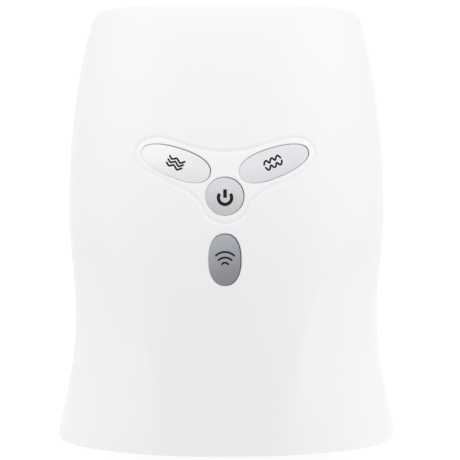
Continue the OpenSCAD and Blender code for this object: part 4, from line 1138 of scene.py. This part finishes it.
def keys_of(form):
    """The four keys by name."""
    skin = Skin(form, "cover")
    x, y, arm = form.slant_key_x, form.slant_key_y, form.slant_arm()
    r, a, b = form.power_key_d / 2, form.oval_key_w / 2, form.oval_key_l / 2
    slant_half = (form.slant_key_l / 2, form.slant_key_w / 2)
    slant_lip = skin.z(arm[0] + 1.6, arm[1], form.wall) - 1.8
    power_lip = skin.z(r + 1.4, form.power_key_y + r + 1.4, form.wall) - 1.8
    oval_lip = skin.z(a + 1.6, form.oval_key_y - b - 1.6, form.wall) - 0.3
    return {name: Key(form, skin, *place) for name, place in {
        "power_key": (form.round_key, (0, form.power_key_y), (r, r), 0, power_lip),
        "vibration_key": (form.left_key, (-x, y), slant_half, -SLANT, slant_lip),
        "wave_key": (form.right_key, (x, y), slant_half, SLANT, slant_lip),
        "pressure_key": (form.oval_key, (0, form.oval_key_y), (a, b), 0, oval_lip),
    }.items()}


class MASSAGER_OT_keys(bpy.types.Operator):
    """The four key caps, each with a domed face, a rounded edge, a retaining lip and a stem"""
    bl_idname = "massager.keys"
    bl_label = "Keys"

    def execute(self, context):
        for name, key in keys_of(form_of(context)).items():
            piece(name + "_cap", loft(key.loops()), name, name, [name], sharp=60)
        return {"FINISHED"}


def rounded(points, cut):
    """A polyline whose corners are rounded off from cut before to cut after them."""
    points = [Vector(p) for p in points]
    found = [points[0]]
    for a, b, c in zip(points, points[1:], points[2:]):
        p, q = b + (a - b).normalized() * cut, b + (c - b).normalized() * cut
        found += [p.lerp(b, t).lerp(b.lerp(q, t), t) for t in (0.0, 0.25, 0.5, 0.75, 1.0)]
    return found + [points[-1]]


def arc(centre, r, start, end, count):
    """Points of an arc, with angles in degrees."""
    return [Vector(centre) + Vector((math.cos(q), math.sin(q))) * r
            for q in (math.radians(start + (end - start) * i / count) for i in range(count + 1))]


def stroke(key, points, width, round_ends=True):
    """A thin printed stroke along points in plan, laid on a key's face."""
    half, rise, pitch = width / 2, 0.035, 0.35
    path = []
    for a, b in zip(points, points[1:]):
        steps = max(1, round((b - a).length / pitch))
        path += [a.lerp(b, i / steps) for i in range(steps)]
    path.append(points[-1])
    ways = directions(path)

    def cap(end, outwards):
        return [(path[end] + outwards * half * math.sin(q), ways[end], math.cos(q))
                for q in map(math.radians, (80, 60, 35))]

    stations = [(p, way, 1.0) for p, way in zip(path, ways)]
    if round_ends:
        stations = cap(0, -ways[0]) + stations + cap(-1, ways[-1])[::-1]
    loops = []
    for p, way, scale in stations:
        side = Vector((-way.y, way.x))
        loop = []
        for q in turns(10, 0.5):
            place = p + side * half * scale * signed(math.cos(q), 0.6)
            loop.append(Vector((*place, key.top(*place) + rise * math.sin(q))))
        loops.append(loop)
    return loft(loops)


# Centre lines of the signs from the middle of their keys, in millimetres
ZIGZAG = [(-2.61, 3.22), (-1.66, 1.64), (0.65, 2.20), (2.06, -0.28), (4.26, 0.51)]
ZIGZAG_SHIFTS = [(0.0, 0.0), (-0.73, -1.5), (-1.46, -3.05)]
WAVES = [[(-4.4, -0.95), (-4.3, 0.2), (-3.6, 1.05), (-2.85, 0.55), (-2.1, 0.02), (-1.72, 0.55),
          (-1.62, 1.5), (-1.0, 2.25), (-0.3, 1.85), (0.45, 1.32), (0.88, 1.8), (0.98, 2.7),
          (1.68, 3.45), (2.35, 3.05), (3.1, 2.42)],
         [(-3.68, -2.19), (-3.05, -2.9), (-2.3, -3.27), (-1.68, -2.6), (-1.56, -1.6), (-1.1, -1.1),
          (-0.4, -1.62), (0.32, -2.06), (1.03, -1.4), (1.15, -0.4), (1.58, 0.1), (2.25, -0.42),
          (2.95, -0.86), (3.66, -0.1), (3.68, 1.15)]]
# Half width, height and place along the body of each arc on the oval key
ARCS = [(4.22, 1.69, -10.04), (2.98, 1.13, -12.63), (1.41, 0.79, -15.0)]


class MASSAGER_OT_signs(bpy.types.Operator):
    """The printed function signs on the keys: shaking, waves, power and three arcs"""
    bl_idname = "massager.signs"
    bl_label = "Key signs"

    def execute(self, context):
        keys = keys_of(form_of(context))
        line, bold, bar = 0.9, 1.6, 1.75
        centre = {name: key.middle for name, key in keys.items()}
        strokes = {name: [] for name in keys}
        for shift in ZIGZAG_SHIFTS:
            points = [centre["vibration_key"] + Vector(p) + Vector(shift) for p in ZIGZAG]
            strokes["vibration_key"].append((rounded(points, 0.5), line, True))
        for wave in WAVES:
            points = [p + centre["wave_key"] for p in spline(wave, 6)]
            strokes["wave_key"].append((points, line, True))
        ring_y = centre["power_key"].y - 0.62
        strokes["power_key"] = [(arc((0, ring_y), 3.07, 143, 397, 40), bold, False),
                                ([Vector((0, ring_y)), Vector((0, ring_y + 3.9))], bar, False)]
        for half, sag, y in ARCS:
            r = (half * half + sag * sag) / (2 * sag)
            spread = math.degrees(math.asin(half / r))
            points = arc((0, y - r), r, 90 + spread, 90 - spread, 16)
            strokes["pressure_key"].append((points, line, True))
        for name, found in strokes.items():
            bm = bmesh.new()
            for points, width, ends in found:
                added(bm, stroke(keys[name], points, width, ends))
            piece(name + "_sign", bm, "sign", name)
        return {"FINISHED"}


def resampled(points, count):
    """An open polyline's points spread evenly by length, count + 1 of them."""
    reach = [0.0]
    for a, b in zip(points, points[1:]):
        reach.append(reach[-1] + (b - a).length)
    found, i = [], 0
    for k in range(count + 1):
        want = reach[-1] * k / count
        while i < len(points) - 2 and reach[i + 1] < want:
            i += 1
        share = (want - reach[i]) / max(1e-9, reach[i + 1] - reach[i])
        found.append(points[i].lerp(points[i + 1], share))
    return found


class MASSAGER_OT_bezel(bpy.types.Operator):
    """Satin ring that leads from the wrist mouth in to the hand cavity"""
    bl_idname = "massager.bezel"
    bl_label = "Mouth ring"

    def execute(self, context):
        form = form_of(context)
        cover, base, arch = (Skin(form, kind) for kind in ("cover", "base", "arch"))
        inset, depth, cavity = form.wall + 0.3, 2.0, LINING_GAP + form.liner_t
        steps, sill_steps, half_ring = 90, 40, 110

        def around(skin, t, d, way=1):
            return [skin.point(way * skin.max_s * (1 - 2 * i / steps), t, d)
                    for i in range(steps + 1)]

        def joined(upper, lower):
            return resampled(upper, half_ring)[:-1] + resampled(lower, half_ring)[:-1]

        lip_y = form.mouth_y + 2
        outer = joined(around(cover, lip_y, inset), around(base, lip_y, inset, -1))
        x = curve(form.arch_sides, form.arch_y0) - cavity
        sill = [Vector((-x + 2 * x * i / sill_steps, form.arch_y0,
                        form.tray_z - 0.5 * math.sin(math.pi * i / sill_steps)))
                for i in range(sill_steps + 1)]
        inner = [p - Vector((0, 0.3 + depth, 0))
                 for p in joined(around(arch, form.arch_y0, cavity), sill)]

        def between(share, y_at):
            return [Vector((a.x + (b.x - a.x) * share, y_at(a.y, b.y), a.z + (b.z - a.z) * share))
                    for a, b in zip(outer, inner)]

        loops = [between(share, lambda a, b: a + (b - a) * (1 - (1 - share) ** 1.35) * 0.9)
                 for share in (0, 0.03, 0.08, 0.16, 0.28, 0.42, 0.56, 0.7, 0.82, 0.9, 0.95, 0.985)]
        loops += [between(share, lambda a, b: b + back)
                  for share, back in ((1.0, 0.45), (1.004, 1.2), (0.998, depth))]
        loops.append([p + Vector((0, depth, 0)) for p in outer])
        piece("bezel", loft(loops, closed=True), "bezel", "case",
              ["mouth_bezel"], sharp=60)
        return {"FINISHED"}


def weave_map(bm):
    """Gives a plate the UV map that knit fabrics follow, from its chart places."""
    layer = bm.loops.layers.uv.new("weave")
    s_layer, t_layer = chart_layers(bm)
    for f in bm.faces:
        for loop in f.loops:
            loop[layer].uv = loop.vert[s_layer] * MM, loop.vert[t_layer] * MM


class MASSAGER_OT_lining(bpy.types.Operator):
    """Foam-backed knit lining of the hand cavity"""
    bl_idname = "massager.lining"
    bl_label = "Lining"

    def execute(self, context):
        form = form_of(context)
        skin = Skin(form, "arch")
        port = (32, form.arch_y0 + 90)
        bm = skin.sheet([], (2.4, 2.4), [form.arch_y0], (2.6, 0.9, 2.6),
                        [[skin.charted(circle(port, 2.4, 24))]])
        plate(bm, *skin.layers(LINING_GAP, LINING_GAP + form.liner_t),
              rims=[(skin.chart(*port), ())])
        weave_map(bm)
        made = piece("lining", bm, "lining", "case", ["hand_liner"],
                     sharp=50)
        return {"FINISHED"}


class Cushion:
    """A flat cushion with a rounded outline round the place y on the centre line."""

    def __init__(self, half_w, half_l, y):
        self.half_w, self.half_l, self.y = half_w, half_l, y

    def place(self, u, v):
        """Where a square's point, -1 to 1 both ways, falls from the cushion's middle."""
        longest = max(abs(u), abs(v))
        if longest < 1e-9:
            return Vector((0, 0))
        share = longest / (abs(u) ** CUSHION_N + abs(v) ** CUSHION_N) ** (1 / CUSHION_N)
        return Vector((u * share * self.half_w, v * share * self.half_l))

    def point(self, s, t, z):
        """The point at the flat place (s, t) of a sheet that takes the cushion's outline."""
        p = self.place(s / self.half_w, t / self.half_l)
        return Vector((p.x, p.y + self.y, z))

    def path(self, half_s, half_t, step):
        """A closed path from the cushion's middle, along the square's ring at half_s and half_t."""
        across = round(2 * half_s * self.half_w / step)
        along = round(2 * half_t * self.half_l / step)
        found = [self.place(half_s * (2 * i / across - 1), -half_t) for i in range(across)]
        found += [self.place(half_s, half_t * (2 * i / along - 1)) for i in range(along)]
        return found + [-p for p in found]


def swollen(bm, sewn, pressure, most):
    """Cloth simulation of a closed cover under air pressure, held where sewn says. Sizes are in
    millimetres, and the largest move is scaled down to most."""
    scene = bpy.context.scene
    last = 20
    mesh = bpy.data.meshes.new("cover at rest")
    bm.to_mesh(mesh)
    mesh.transform(Matrix.Scale(MM, 4))
    start = [v.co / MM for v in mesh.vertices]
    cloth_piece = linked("cover at rest", mesh)
    held = cloth_piece.vertex_groups.new(name="sewn")
    held.add([v.index for v in bm.verts if sewn(v)], 1.0, "REPLACE")
    cloth = cloth_piece.modifiers.new("cloth", "CLOTH")
    cloth.settings.vertex_group_mass = "sewn"
    cloth.settings.use_pressure = True
    cloth.settings.uniform_pressure_force = pressure
    cloth.settings.effector_weights.gravity = 0
    cloth.collision_settings.use_collision = False
    cloth.point_cache.frame_start, cloth.point_cache.frame_end = 1, last
    for frame_number in range(1, last + 1):
        scene.frame_set(frame_number)
    shaped = cloth_piece.evaluated_get(bpy.context.evaluated_depsgraph_get()).to_mesh()
    moves = [v.co / MM - p for v, p in zip(shaped.vertices, start)]
    bpy.data.objects.remove(cloth_piece)
    bpy.data.meshes.remove(mesh)
    scene.frame_set(1)
    largest = max(m.length for m in moves)
    if not largest > 0.05:
        raise RuntimeError("the ceiling pad's cover didn't swell")
    for v, m in zip(bm.verts, moves):
        v.co += m * min(1.0, most / largest)


# The ceiling pad's half sizes, its seams' distances from the middle, and its piping
PAD_HALF = (37.6, 55.4)
PAD_LANE, PAD_FIELD, PAD_EDGE = 12.5, 19.0, (34.0, 51.6)
PIPING_R, PIPING_INSET = 0.62, 0.35
STITCH_PITCH, STITCH_PROUD = 2.9, 0.32


class MASSAGER_OT_ceiling_pad(bpy.types.Operator):
    """Padded knit cover under the cavity's ceiling, with sewn fields, stitches and piping"""
    bl_idname = "massager.ceiling_pad"
    bl_label = "Ceiling pad"

    def execute(self, context):
        form = form_of(context)
        low, middle, high = box_of("ceiling_pad")
        y = middle.y
        cushion = Cushion(*PAD_HALF, y)
        half_w, half_l = cushion.half_w, cushion.half_l
        top, under = high.z - 0.05, low.z + form.pad_swell + 0.1
        seam = under + 0.7
        lane, field, (edge_s, edge_t), near = PAD_LANE, PAD_FIELD, PAD_EDGE, 0.1
        bm = flat_sheet(both_ways(lines((0, lane, edge_s, half_w), (2.1, 2.15, 1.8))),
                        both_ways(lines((0, field, edge_t, half_l), (2.1, 2.2, 1.9))), [])

        def sewn_at(s, t):
            s, t = abs(s), abs(t)
            return (min(abs(s - lane), abs(s - edge_s)) < near and t <= edge_t + near
                    or min(abs(t - field), abs(t - edge_t)) < near and s <= edge_s + near)

        plate(bm, lambda s, t: cushion.point(s, t, top),
              lambda s, t: cushion.point(s, t, seam if sewn_at(s, t) else under))
        weave_map(bm)
        s_layer, t_layer = chart_layers(bm)
        swollen(bm, lambda v: v.co.z > under + 1.2 or sewn_at(v[s_layer], v[t_layer]),
                pressure=4.0, most=form.pad_swell)
        pad = piece("pad", bm, "pad", "ceiling_pad", ["ceiling_pad"])
        soft = pad.modifiers.new("soft", "SUBSURF")
        soft.levels = soft.render_levels = 1

        rope_path = [Vector((p.x, p.y + y, (top + under) / 2 + 0.2))
                     for p in Cushion(half_w - PIPING_INSET, half_l - PIPING_INSET, y).path(
                         1.0, 1.0, 2.5)]
        rope = loft(swept(rope_path, circle((0, 0), PIPING_R, 8), closed=True), closed=True)
        piece("pad_piping", rope, "piping", "ceiling_pad")

        pitch = STITCH_PITCH
        seams = [cushion.path(edge_s / half_w, edge_t / half_l, pitch)]
        for side in (-1, 1):
            seams += [[Vector((side * lane, 1.6 - edge_t + pitch * i)) for i in range(35)],
                      [Vector((1.4 - edge_s + pitch * i, side * field)) for i in range(24)]]
        threads = bmesh.new()
        for path in seams:
            for a, b in zip(path, path[1:]):
                added(threads, stitch(a, b, y, seam - STITCH_PROUD))
        piece("pad_stitches", threads, "thread", "ceiling_pad")
        return {"FINISHED"}


# Rings of a stitch: share of its length, depth in the cloth and radius
STITCH = [(0, 0.34, 0.09), (0.12, 0.06, 0.19), (0.5, 0.0, 0.22), (0.88, 0.06, 0.19),
          (1, 0.34, 0.09)]


def stitch(a, b, y, z):
    """One stitch of thread, from a most of the way to b, which dives into the cloth at both
    ends."""
    way = (b - a) * 0.72
    beside = Vector((-way.y, way.x, 0)).normalized()
    loops = []
    for share, dive, r in STITCH:
        middle = Vector((a.x + way.x * share, a.y + way.y * share + y, z + dive))
        loops.append([middle + beside * r * math.cos(q) + Vector((0, 0, r * math.sin(q)))
                      for q in turns(6)])
    return loft(loops)


# Each air bag: its hose port, the way the port points, its spot welds, the bodies below and above
AIR_BAGS = {
    "upper_airbag": ((32.0, 10.025), UP, ((0, -26), (0, 0), (0, 26)), ("ceiling_pad", "case")),
    "palm_airbag": ((30.0, 20.025), DOWN, ((-20, -18), (20, -18), (-20, 18), (20, 18)),
                    ("case", "palm_plate")),
}
# Rings of a hose port: radius and distance from the bag's middle
PORT = [(0.3, 0.1), (2.9, 0.1), (2.9, 0.55), (2.65, 0.8), (2.15, 0.8), (2.15, 0.95), (0.3, 0.95)]


class MASSAGER_OT_air_bags(bpy.types.Operator):
    """The two air bags: two films welded round the edge and in spots, with a port for the hose"""
    bl_idname = "massager.air_bags"
    bl_label = "Air bags"

    def execute(self, context):
        for name, (port, way, welds, bodies) in AIR_BAGS.items():
            low, middle, high = box_of(name)
            half_w, half_l = high.x - middle.x, high.y - middle.y
            cushion = Cushion(half_w, half_l, middle.y)
            seam, swell_w, film, border = 3.6, 11.0, 0.15, 10
            bm = flat_sheet(both_ways(lines((0, half_w - border, half_w), (2.4, 1.25))),
                            both_ways(lines((0, half_l - border, half_l), (2.6, 1.25))), [])

            def puff(s, t):
                """Distance of the film from the bag's middle plane."""
                rise = 1.0
                for gap, along in ((half_w - abs(s), t), (half_l - abs(t), s)):
                    k = min(1.0, max(0.0, (gap - seam) / swell_w))
                    fade = math.exp(-max(0.0, gap - seam) / 4)
                    crimp = 0.12 * fade * math.sin(along * 0.75 + gap * 0.2)
                    rise *= math.sqrt(1 - (1 - k) ** 2) * (1 + crimp)
                for x, y in welds:
                    rise *= 0.12 + 0.88 * ramp(math.hypot(s - x, (t - y) * 0.7), 2.2, 10.2)
                return film + (high.z - middle.z - film) * min(1.0, rise)

            plate(bm, lambda s, t: cushion.point(s, t, middle.z + puff(s, t)),
                  lambda s, t: cushion.point(s, t, middle.z - puff(s, t)))
            added(bm, loft([raised(circle(port, r, 28), level(middle.z + way * h))
                            for r, h in PORT]))
            bag = piece(name.replace("airbag", "bag"), bm, "air_film", None,
                        [name])
            (below, above), y = bodies, middle.y
            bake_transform(bag, below, above, start=(0, y * MM, low.z * MM), end=(0, y * MM, high.z * MM))
        return {"FINISHED"}


# Routes of the hoses and the ribbon lead, in millimetres
HOSE_ROUTES = [
    [(12, 66, 16.5), (19.5, 66, 16.5)],
    [(41, 60.3, 11), (41, 56, 11), (40.2, 51, 10.8), (37, 42, 10), (33, 33.025, 9.6),
     (30.4, 26.025, 10.6), (30, 21.025, 14.6), (30, 20.025, 20.6)],
    [(25, 60.3, 11), (25, 56, 11), (28, 51, 13.5), (37, 48.8, 17), (47, 49.5, 18), (56, 51.5, 19.5),
     (62, 54.5, 23.5), (63.5, 56, 30), (63.4, 56, 42), (62.6, 55.5, 54), (60.6, 54.5, 66),
     (54.9, 53, 74.4), (46, 47, 80.2), (38, 33.025, 83), (33.5, 18.025, 84.4), (32, 11.525, 82.3),
     (32, 10.025, 79), (32, 10.025, 74.2)]]
RIBBON_ROUTE = [(26, 82.81), (32, 82.81), (48, 80.0), (57, 70.0), (62, 60.0), (64.4, 46),
                (64.6, 34), (64.6, 26), (62, 18), (56, 12.4), (49, 9.6), (43, 8.8), (38, 8.7)]


class MASSAGER_OT_hoses(bpy.types.Operator):
    """Clear silicone hoses from pump and valves to the two air bags"""
    bl_idname = "massager.hoses"
    bl_label = "Air hoses"

    def execute(self, context):
        form = form_of(context)
        outer, bore = (circle((0, 0), r, 16, 0.5)
                       for r in (form.hose_d / 2 - 0.05, form.hose_bore / 2))
        bm = bmesh.new()
        for route in HOSE_ROUTES:
            path = spline(route, 6)
            added(bm, loft(swept(path, outer) + swept(path, bore)[::-1], closed=True))
        piece("hoses", bm, "hose", "case", ["air_hoses"], sharp=60)
        return {"FINISHED"}


class MASSAGER_OT_ribbon(bpy.types.Operator):
    """Flat ribbon lead of ten cores between the key board and the power board"""
    bl_idname = "massager.ribbon"
    bl_label = "Ribbon lead"

    def execute(self, context):
        y, cores, pitch = box_of("ribbon_cable")[1].y, 10, 1.1
        valley, ridge = 0.2, 0.5
        upper = []
        for i in range(cores):
            centre = (i - (cores - 1) / 2) * pitch
            upper += [(valley, centre - pitch / 2), (ridge, centre - pitch * 0.22),
                      (ridge, centre + pitch * 0.22)]
        upper.append((valley, cores * pitch / 2))
        path = spline([(x, y, z) for x, z in RIBBON_ROUTE], 5)
        piece("ribbon", loft(swept(path, upper + [(-a, -b) for a, b in upper])),
              "ribbon", "case", ["ribbon_cable"])
        return {"FINISHED"}


# Rings of the battery: share of its half length, and how far the wrap is tucked in
BATTERY_RINGS = [(-1, 2.2), (-1, 1.0), (-0.99, 0.45), (-0.97, 0.12), (-0.94, 0), (0.94, 0),
                 (0.97, 0.12), (0.99, 0.45), (1, 1.0), (1, 2.2)]


class MASSAGER_OT_battery(bpy.types.Operator):
    """Battery pack of two flat cells in tight shrink wrap"""
    bl_idname = "massager.battery"
    bl_label = "Battery pack"

    def execute(self, context):
        _, middle, high = box_of("battery_pack")
        half = high - middle
        loops = []
        for along, tuck in BATTERY_RINGS:
            loop = []
            for q in turns(96, 0.5):
                x = (half.x - tuck) * signed(math.cos(q), 0.2)
                z = (half.z - tuck) * signed(math.sin(q), 0.34)
                z *= 1 - 0.16 * math.exp(-(x / 1.6) ** 2)
                loop.append(middle + Vector((x, half.y * along, z)))
            loops.append(loop)
        piece("battery", loft(loops), "battery", "case",
              ["battery_pack"], sharp=70)
        return {"FINISHED"}


INNER_FINISHES = {
    "frame": ["upper_frame"], "tray": ["lower_tray"], "palm": ["palm_plate"],
    "nodule": ["massage_nodules"], "film": ["heat_film"],
    "board": ["key_board", "power_board", "charge_board"],
    "black": ["power_plunger", "vibration_plunger", "wave_plunger", "pressure_plunger",
              "push_switches", "battery_clip", "pump_head"],
    "screw": ["key_board_screws", "case_screws", "frame_screws"],
    "motor": ["pump_motor", "left_buzz_motor", "right_buzz_motor", "air_valves"],
    "brass": ["pump_crank"], "weight": ["left_weight", "right_weight"],
    "bracket": ["motor_brackets"], "socket": ["charging_socket"], "rubber": ["rubber_feet"],
}


class MASSAGER_OT_inner_finishes(bpy.types.Operator):
    """Finishes of the parts that show as they are: frame, tray, palm plate, boards, motors and
    the rest"""
    bl_idname = "massager.inner_finishes"
    bl_label = "Inner finishes"

    def execute(self, context):
        for finish_name, names in INNER_FINISHES.items():
            for name in names:
                for place in frame["nodes"][name].material_slots:
                    place.material = materials[finish_name]
        return {"FINISHED"}


# Finishes by name, made by main before the pieces
materials = {}

SHELL = dict(mottle=0.006, mottle_scale=60.0, grain=0.0015, grain_scale=900.0, rough_spread=0.03,
             Specular_IOR_Level=0.35)
KEY = dict(mottle=0.012, mottle_scale=500.0, rough_spread=0.03, Coat_Weight=0.3,
           Coat_Roughness=0.15)
# For each finish: its label, colour, roughness and settings
FINISHES = {
    "shell": ("satin white shell", "shell", 0.36, dict(
        SHELL, Coat_Weight=0.08, Coat_Roughness=0.25)),
    "panel": ("satin white panel", "panel", 0.34, dict(
        SHELL, Coat_Weight=0.1, Coat_Roughness=0.2)),
    "sign": ("charcoal print", "sign", 0.6, dict(Specular_IOR_Level=0.1)),
    "bezel": ("satin bezel", "bezel", 0.42, dict(grain=0.01, grain_scale=5000.0)),
    "piping": ("piping cloth", "thread", 0.8, dict(
        mottle=0.12, mottle_scale=2500.0, grain=0.06, grain_scale=3500.0, Sheen_Weight=0.3)),
    "thread": ("sewing thread", "thread", 0.6, dict(
        mottle=0.15, mottle_scale=4000.0, grain=0.05, grain_scale=9000.0, Sheen_Weight=0.3)),
    "frame": ("light grey plastic", "frame", 0.48, dict(
        mottle=0.02, grain=0.012, grain_scale=4000.0)),
    "tray": ("fine textured plastic", "tray", 0.55, dict(grain=0.05, grain_scale=2600.0)),
    "palm": ("soft-touch plastic", "palm", 0.62, dict(
        grain=0.03, grain_scale=3200.0, Sheen_Weight=0.15)),
    "nodule": ("nodule rubber", "nodule", 0.55, dict(
        mottle=0.06, grain=0.03, grain_scale=3000.0, Sheen_Weight=0.1)),
    "rubber": ("foot rubber", "rubber", 0.75, dict(mottle=0.08, grain=0.06, grain_scale=2400.0)),
    "black": ("black nylon", "black", 0.42, dict(mottle=0.08, grain=0.02, grain_scale=4000.0)),
    "bracket": ("white nylon", "bracket", 0.45, dict(mottle=0.02, grain=0.015, grain_scale=3500.0)),
    "battery": ("shrink wrap", "battery", 0.3, dict(
        mottle=0.05, mottle_scale=250.0, grain=0.15, grain_scale=350.0, Coat_Weight=0.3)),
    "air_film": ("clear air film", "air_film", 0.28, dict(
        mottle_scale=250.0, grain=0.01, grain_scale=300.0, Coat_Weight=0.2)),
    "hose": ("clear silicone", "hose", 0.22, dict(mottle=0.02, Transmission_Weight=0.75, IOR=1.41)),
    "vibration_key": ("pale key", "vibration_key", 0.3, KEY),
    "wave_key": ("lavender key", "wave_key", 0.3, KEY),
    "power_key": ("silver key", "power_key", 0.3, KEY),
    "pressure_key": ("grey key", "pressure_key", 0.32, KEY),
}
# For each metal: its label, colour, the share of it, roughness, the axis of its streaks, settings
METALS = {
    "motor": ("motor steel", "steel", 1.0, 0.36, 1, {}),
    "screw": ("screw steel", "steel", 1.0, 0.28, 0, {"Anisotropic": 0.3}),
    "weight": ("weight steel", "steel", 0.8, 0.42, 1, {}),
    "socket": ("socket shell", "steel", 1.15, 0.3, 1, {}),
    "brass": ("crank brass", "brass", 1.0, 0.3, 0, {}),
}
# For each key's painted light and shade, lighter towards the finger end and darker towards the wrist: axis,
# start and end along it, and the shares there
KEY_PAINTED_LIGHT = {
    "vibration_key": ((0.6, -0.8, 0.0), -50, -28, (1.05, 1.05, 1.05), (0.94, 0.94, 0.94)),
    "wave_key": ((-0.5, 0.87, 0.0), 4, 24, (0.97, 0.97, 0.975), (1.02, 1.02, 1.01)),
    "power_key": ((0.0, 1.0, 0.0), 7, 25, (0.9, 0.9, 0.9), (1.1, 1.1, 1.1)),
    "pressure_key": ((-0.3, 0.954, 0.0), -26, -1, (0.72, 0.72, 0.71), (1.26, 1.27, 1.3)),
}


def make_finishes(colours):
    """Makes the finishes that pieces and CAD nodes share."""
    c = {key: tuple(getattr(colours, key)) for key in MassagerColours.__annotations__}
    for name, (label, tone, roughness, settings) in FINISHES.items():
        materials[name] = finish(label, c[tone], roughness, **settings)
    for name, (label, tone, share, roughness, along, settings) in METALS.items():
        materials[name] = brushed(label, [k * share for k in c[tone]], roughness, along, **settings)
    # Paints light and shade on the keys, lighter towards the finger end and darker towards the wrist
    for name, settings in KEY_PAINTED_LIGHT.items():
        painted_light_ramp(materials[name], *settings)
    materials["lining"] = knit("lining knit", c["lining"], 1.6, 0.3)
    materials["pad"] = knit("pad knit", c["pad"], 1.4, 0.25)
    materials["film"] = film_finish(c["film"], (0.72, 0.36, 0.18))
    materials["board"] = board_finish(c["board"], (0.72, 0.66, 0.50))
    materials["ribbon"] = ribbon_finish(c["ribbon"])


class MASSAGER_PT_pieces(bpy.types.Panel):
    """The massager's pieces, sizes and colours"""
    bl_label = "Hand massager"
    bl_idname = "MASSAGER_PT_pieces"
    bl_space_type = "VIEW_3D"
    bl_region_type = "UI"
    bl_category = "Massager"

    def draw(self, context):
        for operator in OPERATORS:
            self.layout.operator(operator.bl_idname)
        for group, names in ((context.scene.massager_sizes, MassagerSizes.__annotations__),
                             (context.scene.massager_colours, MassagerColours.__annotations__)):
            box = self.layout.box()
            for name in names:
                box.prop(group, name)


OPERATORS = [MASSAGER_OT_stage, MASSAGER_OT_cover, MASSAGER_OT_base, MASSAGER_OT_panel,
             MASSAGER_OT_keys, MASSAGER_OT_signs, MASSAGER_OT_bezel, MASSAGER_OT_lining,
             MASSAGER_OT_ceiling_pad, MASSAGER_OT_air_bags, MASSAGER_OT_hoses, MASSAGER_OT_ribbon,
             MASSAGER_OT_battery, MASSAGER_OT_inner_finishes]
CLASSES = [MassagerSizes, MassagerColours, *OPERATORS, MASSAGER_PT_pieces]


def register():
    for cls in CLASSES:
        bpy.utils.register_class(cls)
    bpy.types.Scene.massager_sizes = bpy.props.PointerProperty(type=MassagerSizes)
    bpy.types.Scene.massager_colours = bpy.props.PointerProperty(type=MassagerColours)


def unregister():
    del bpy.types.Scene.massager_colours
    del bpy.types.Scene.massager_sizes
    for cls in reversed(CLASSES):
        bpy.utils.unregister_class(cls)


def main():
    register()
    make_finishes(bpy.context.scene.massager_colours)
    for operator in OPERATORS:
        getattr(bpy.ops.massager, operator.bl_idname.split(".")[1])()


if __name__ == "__main__":
    main()
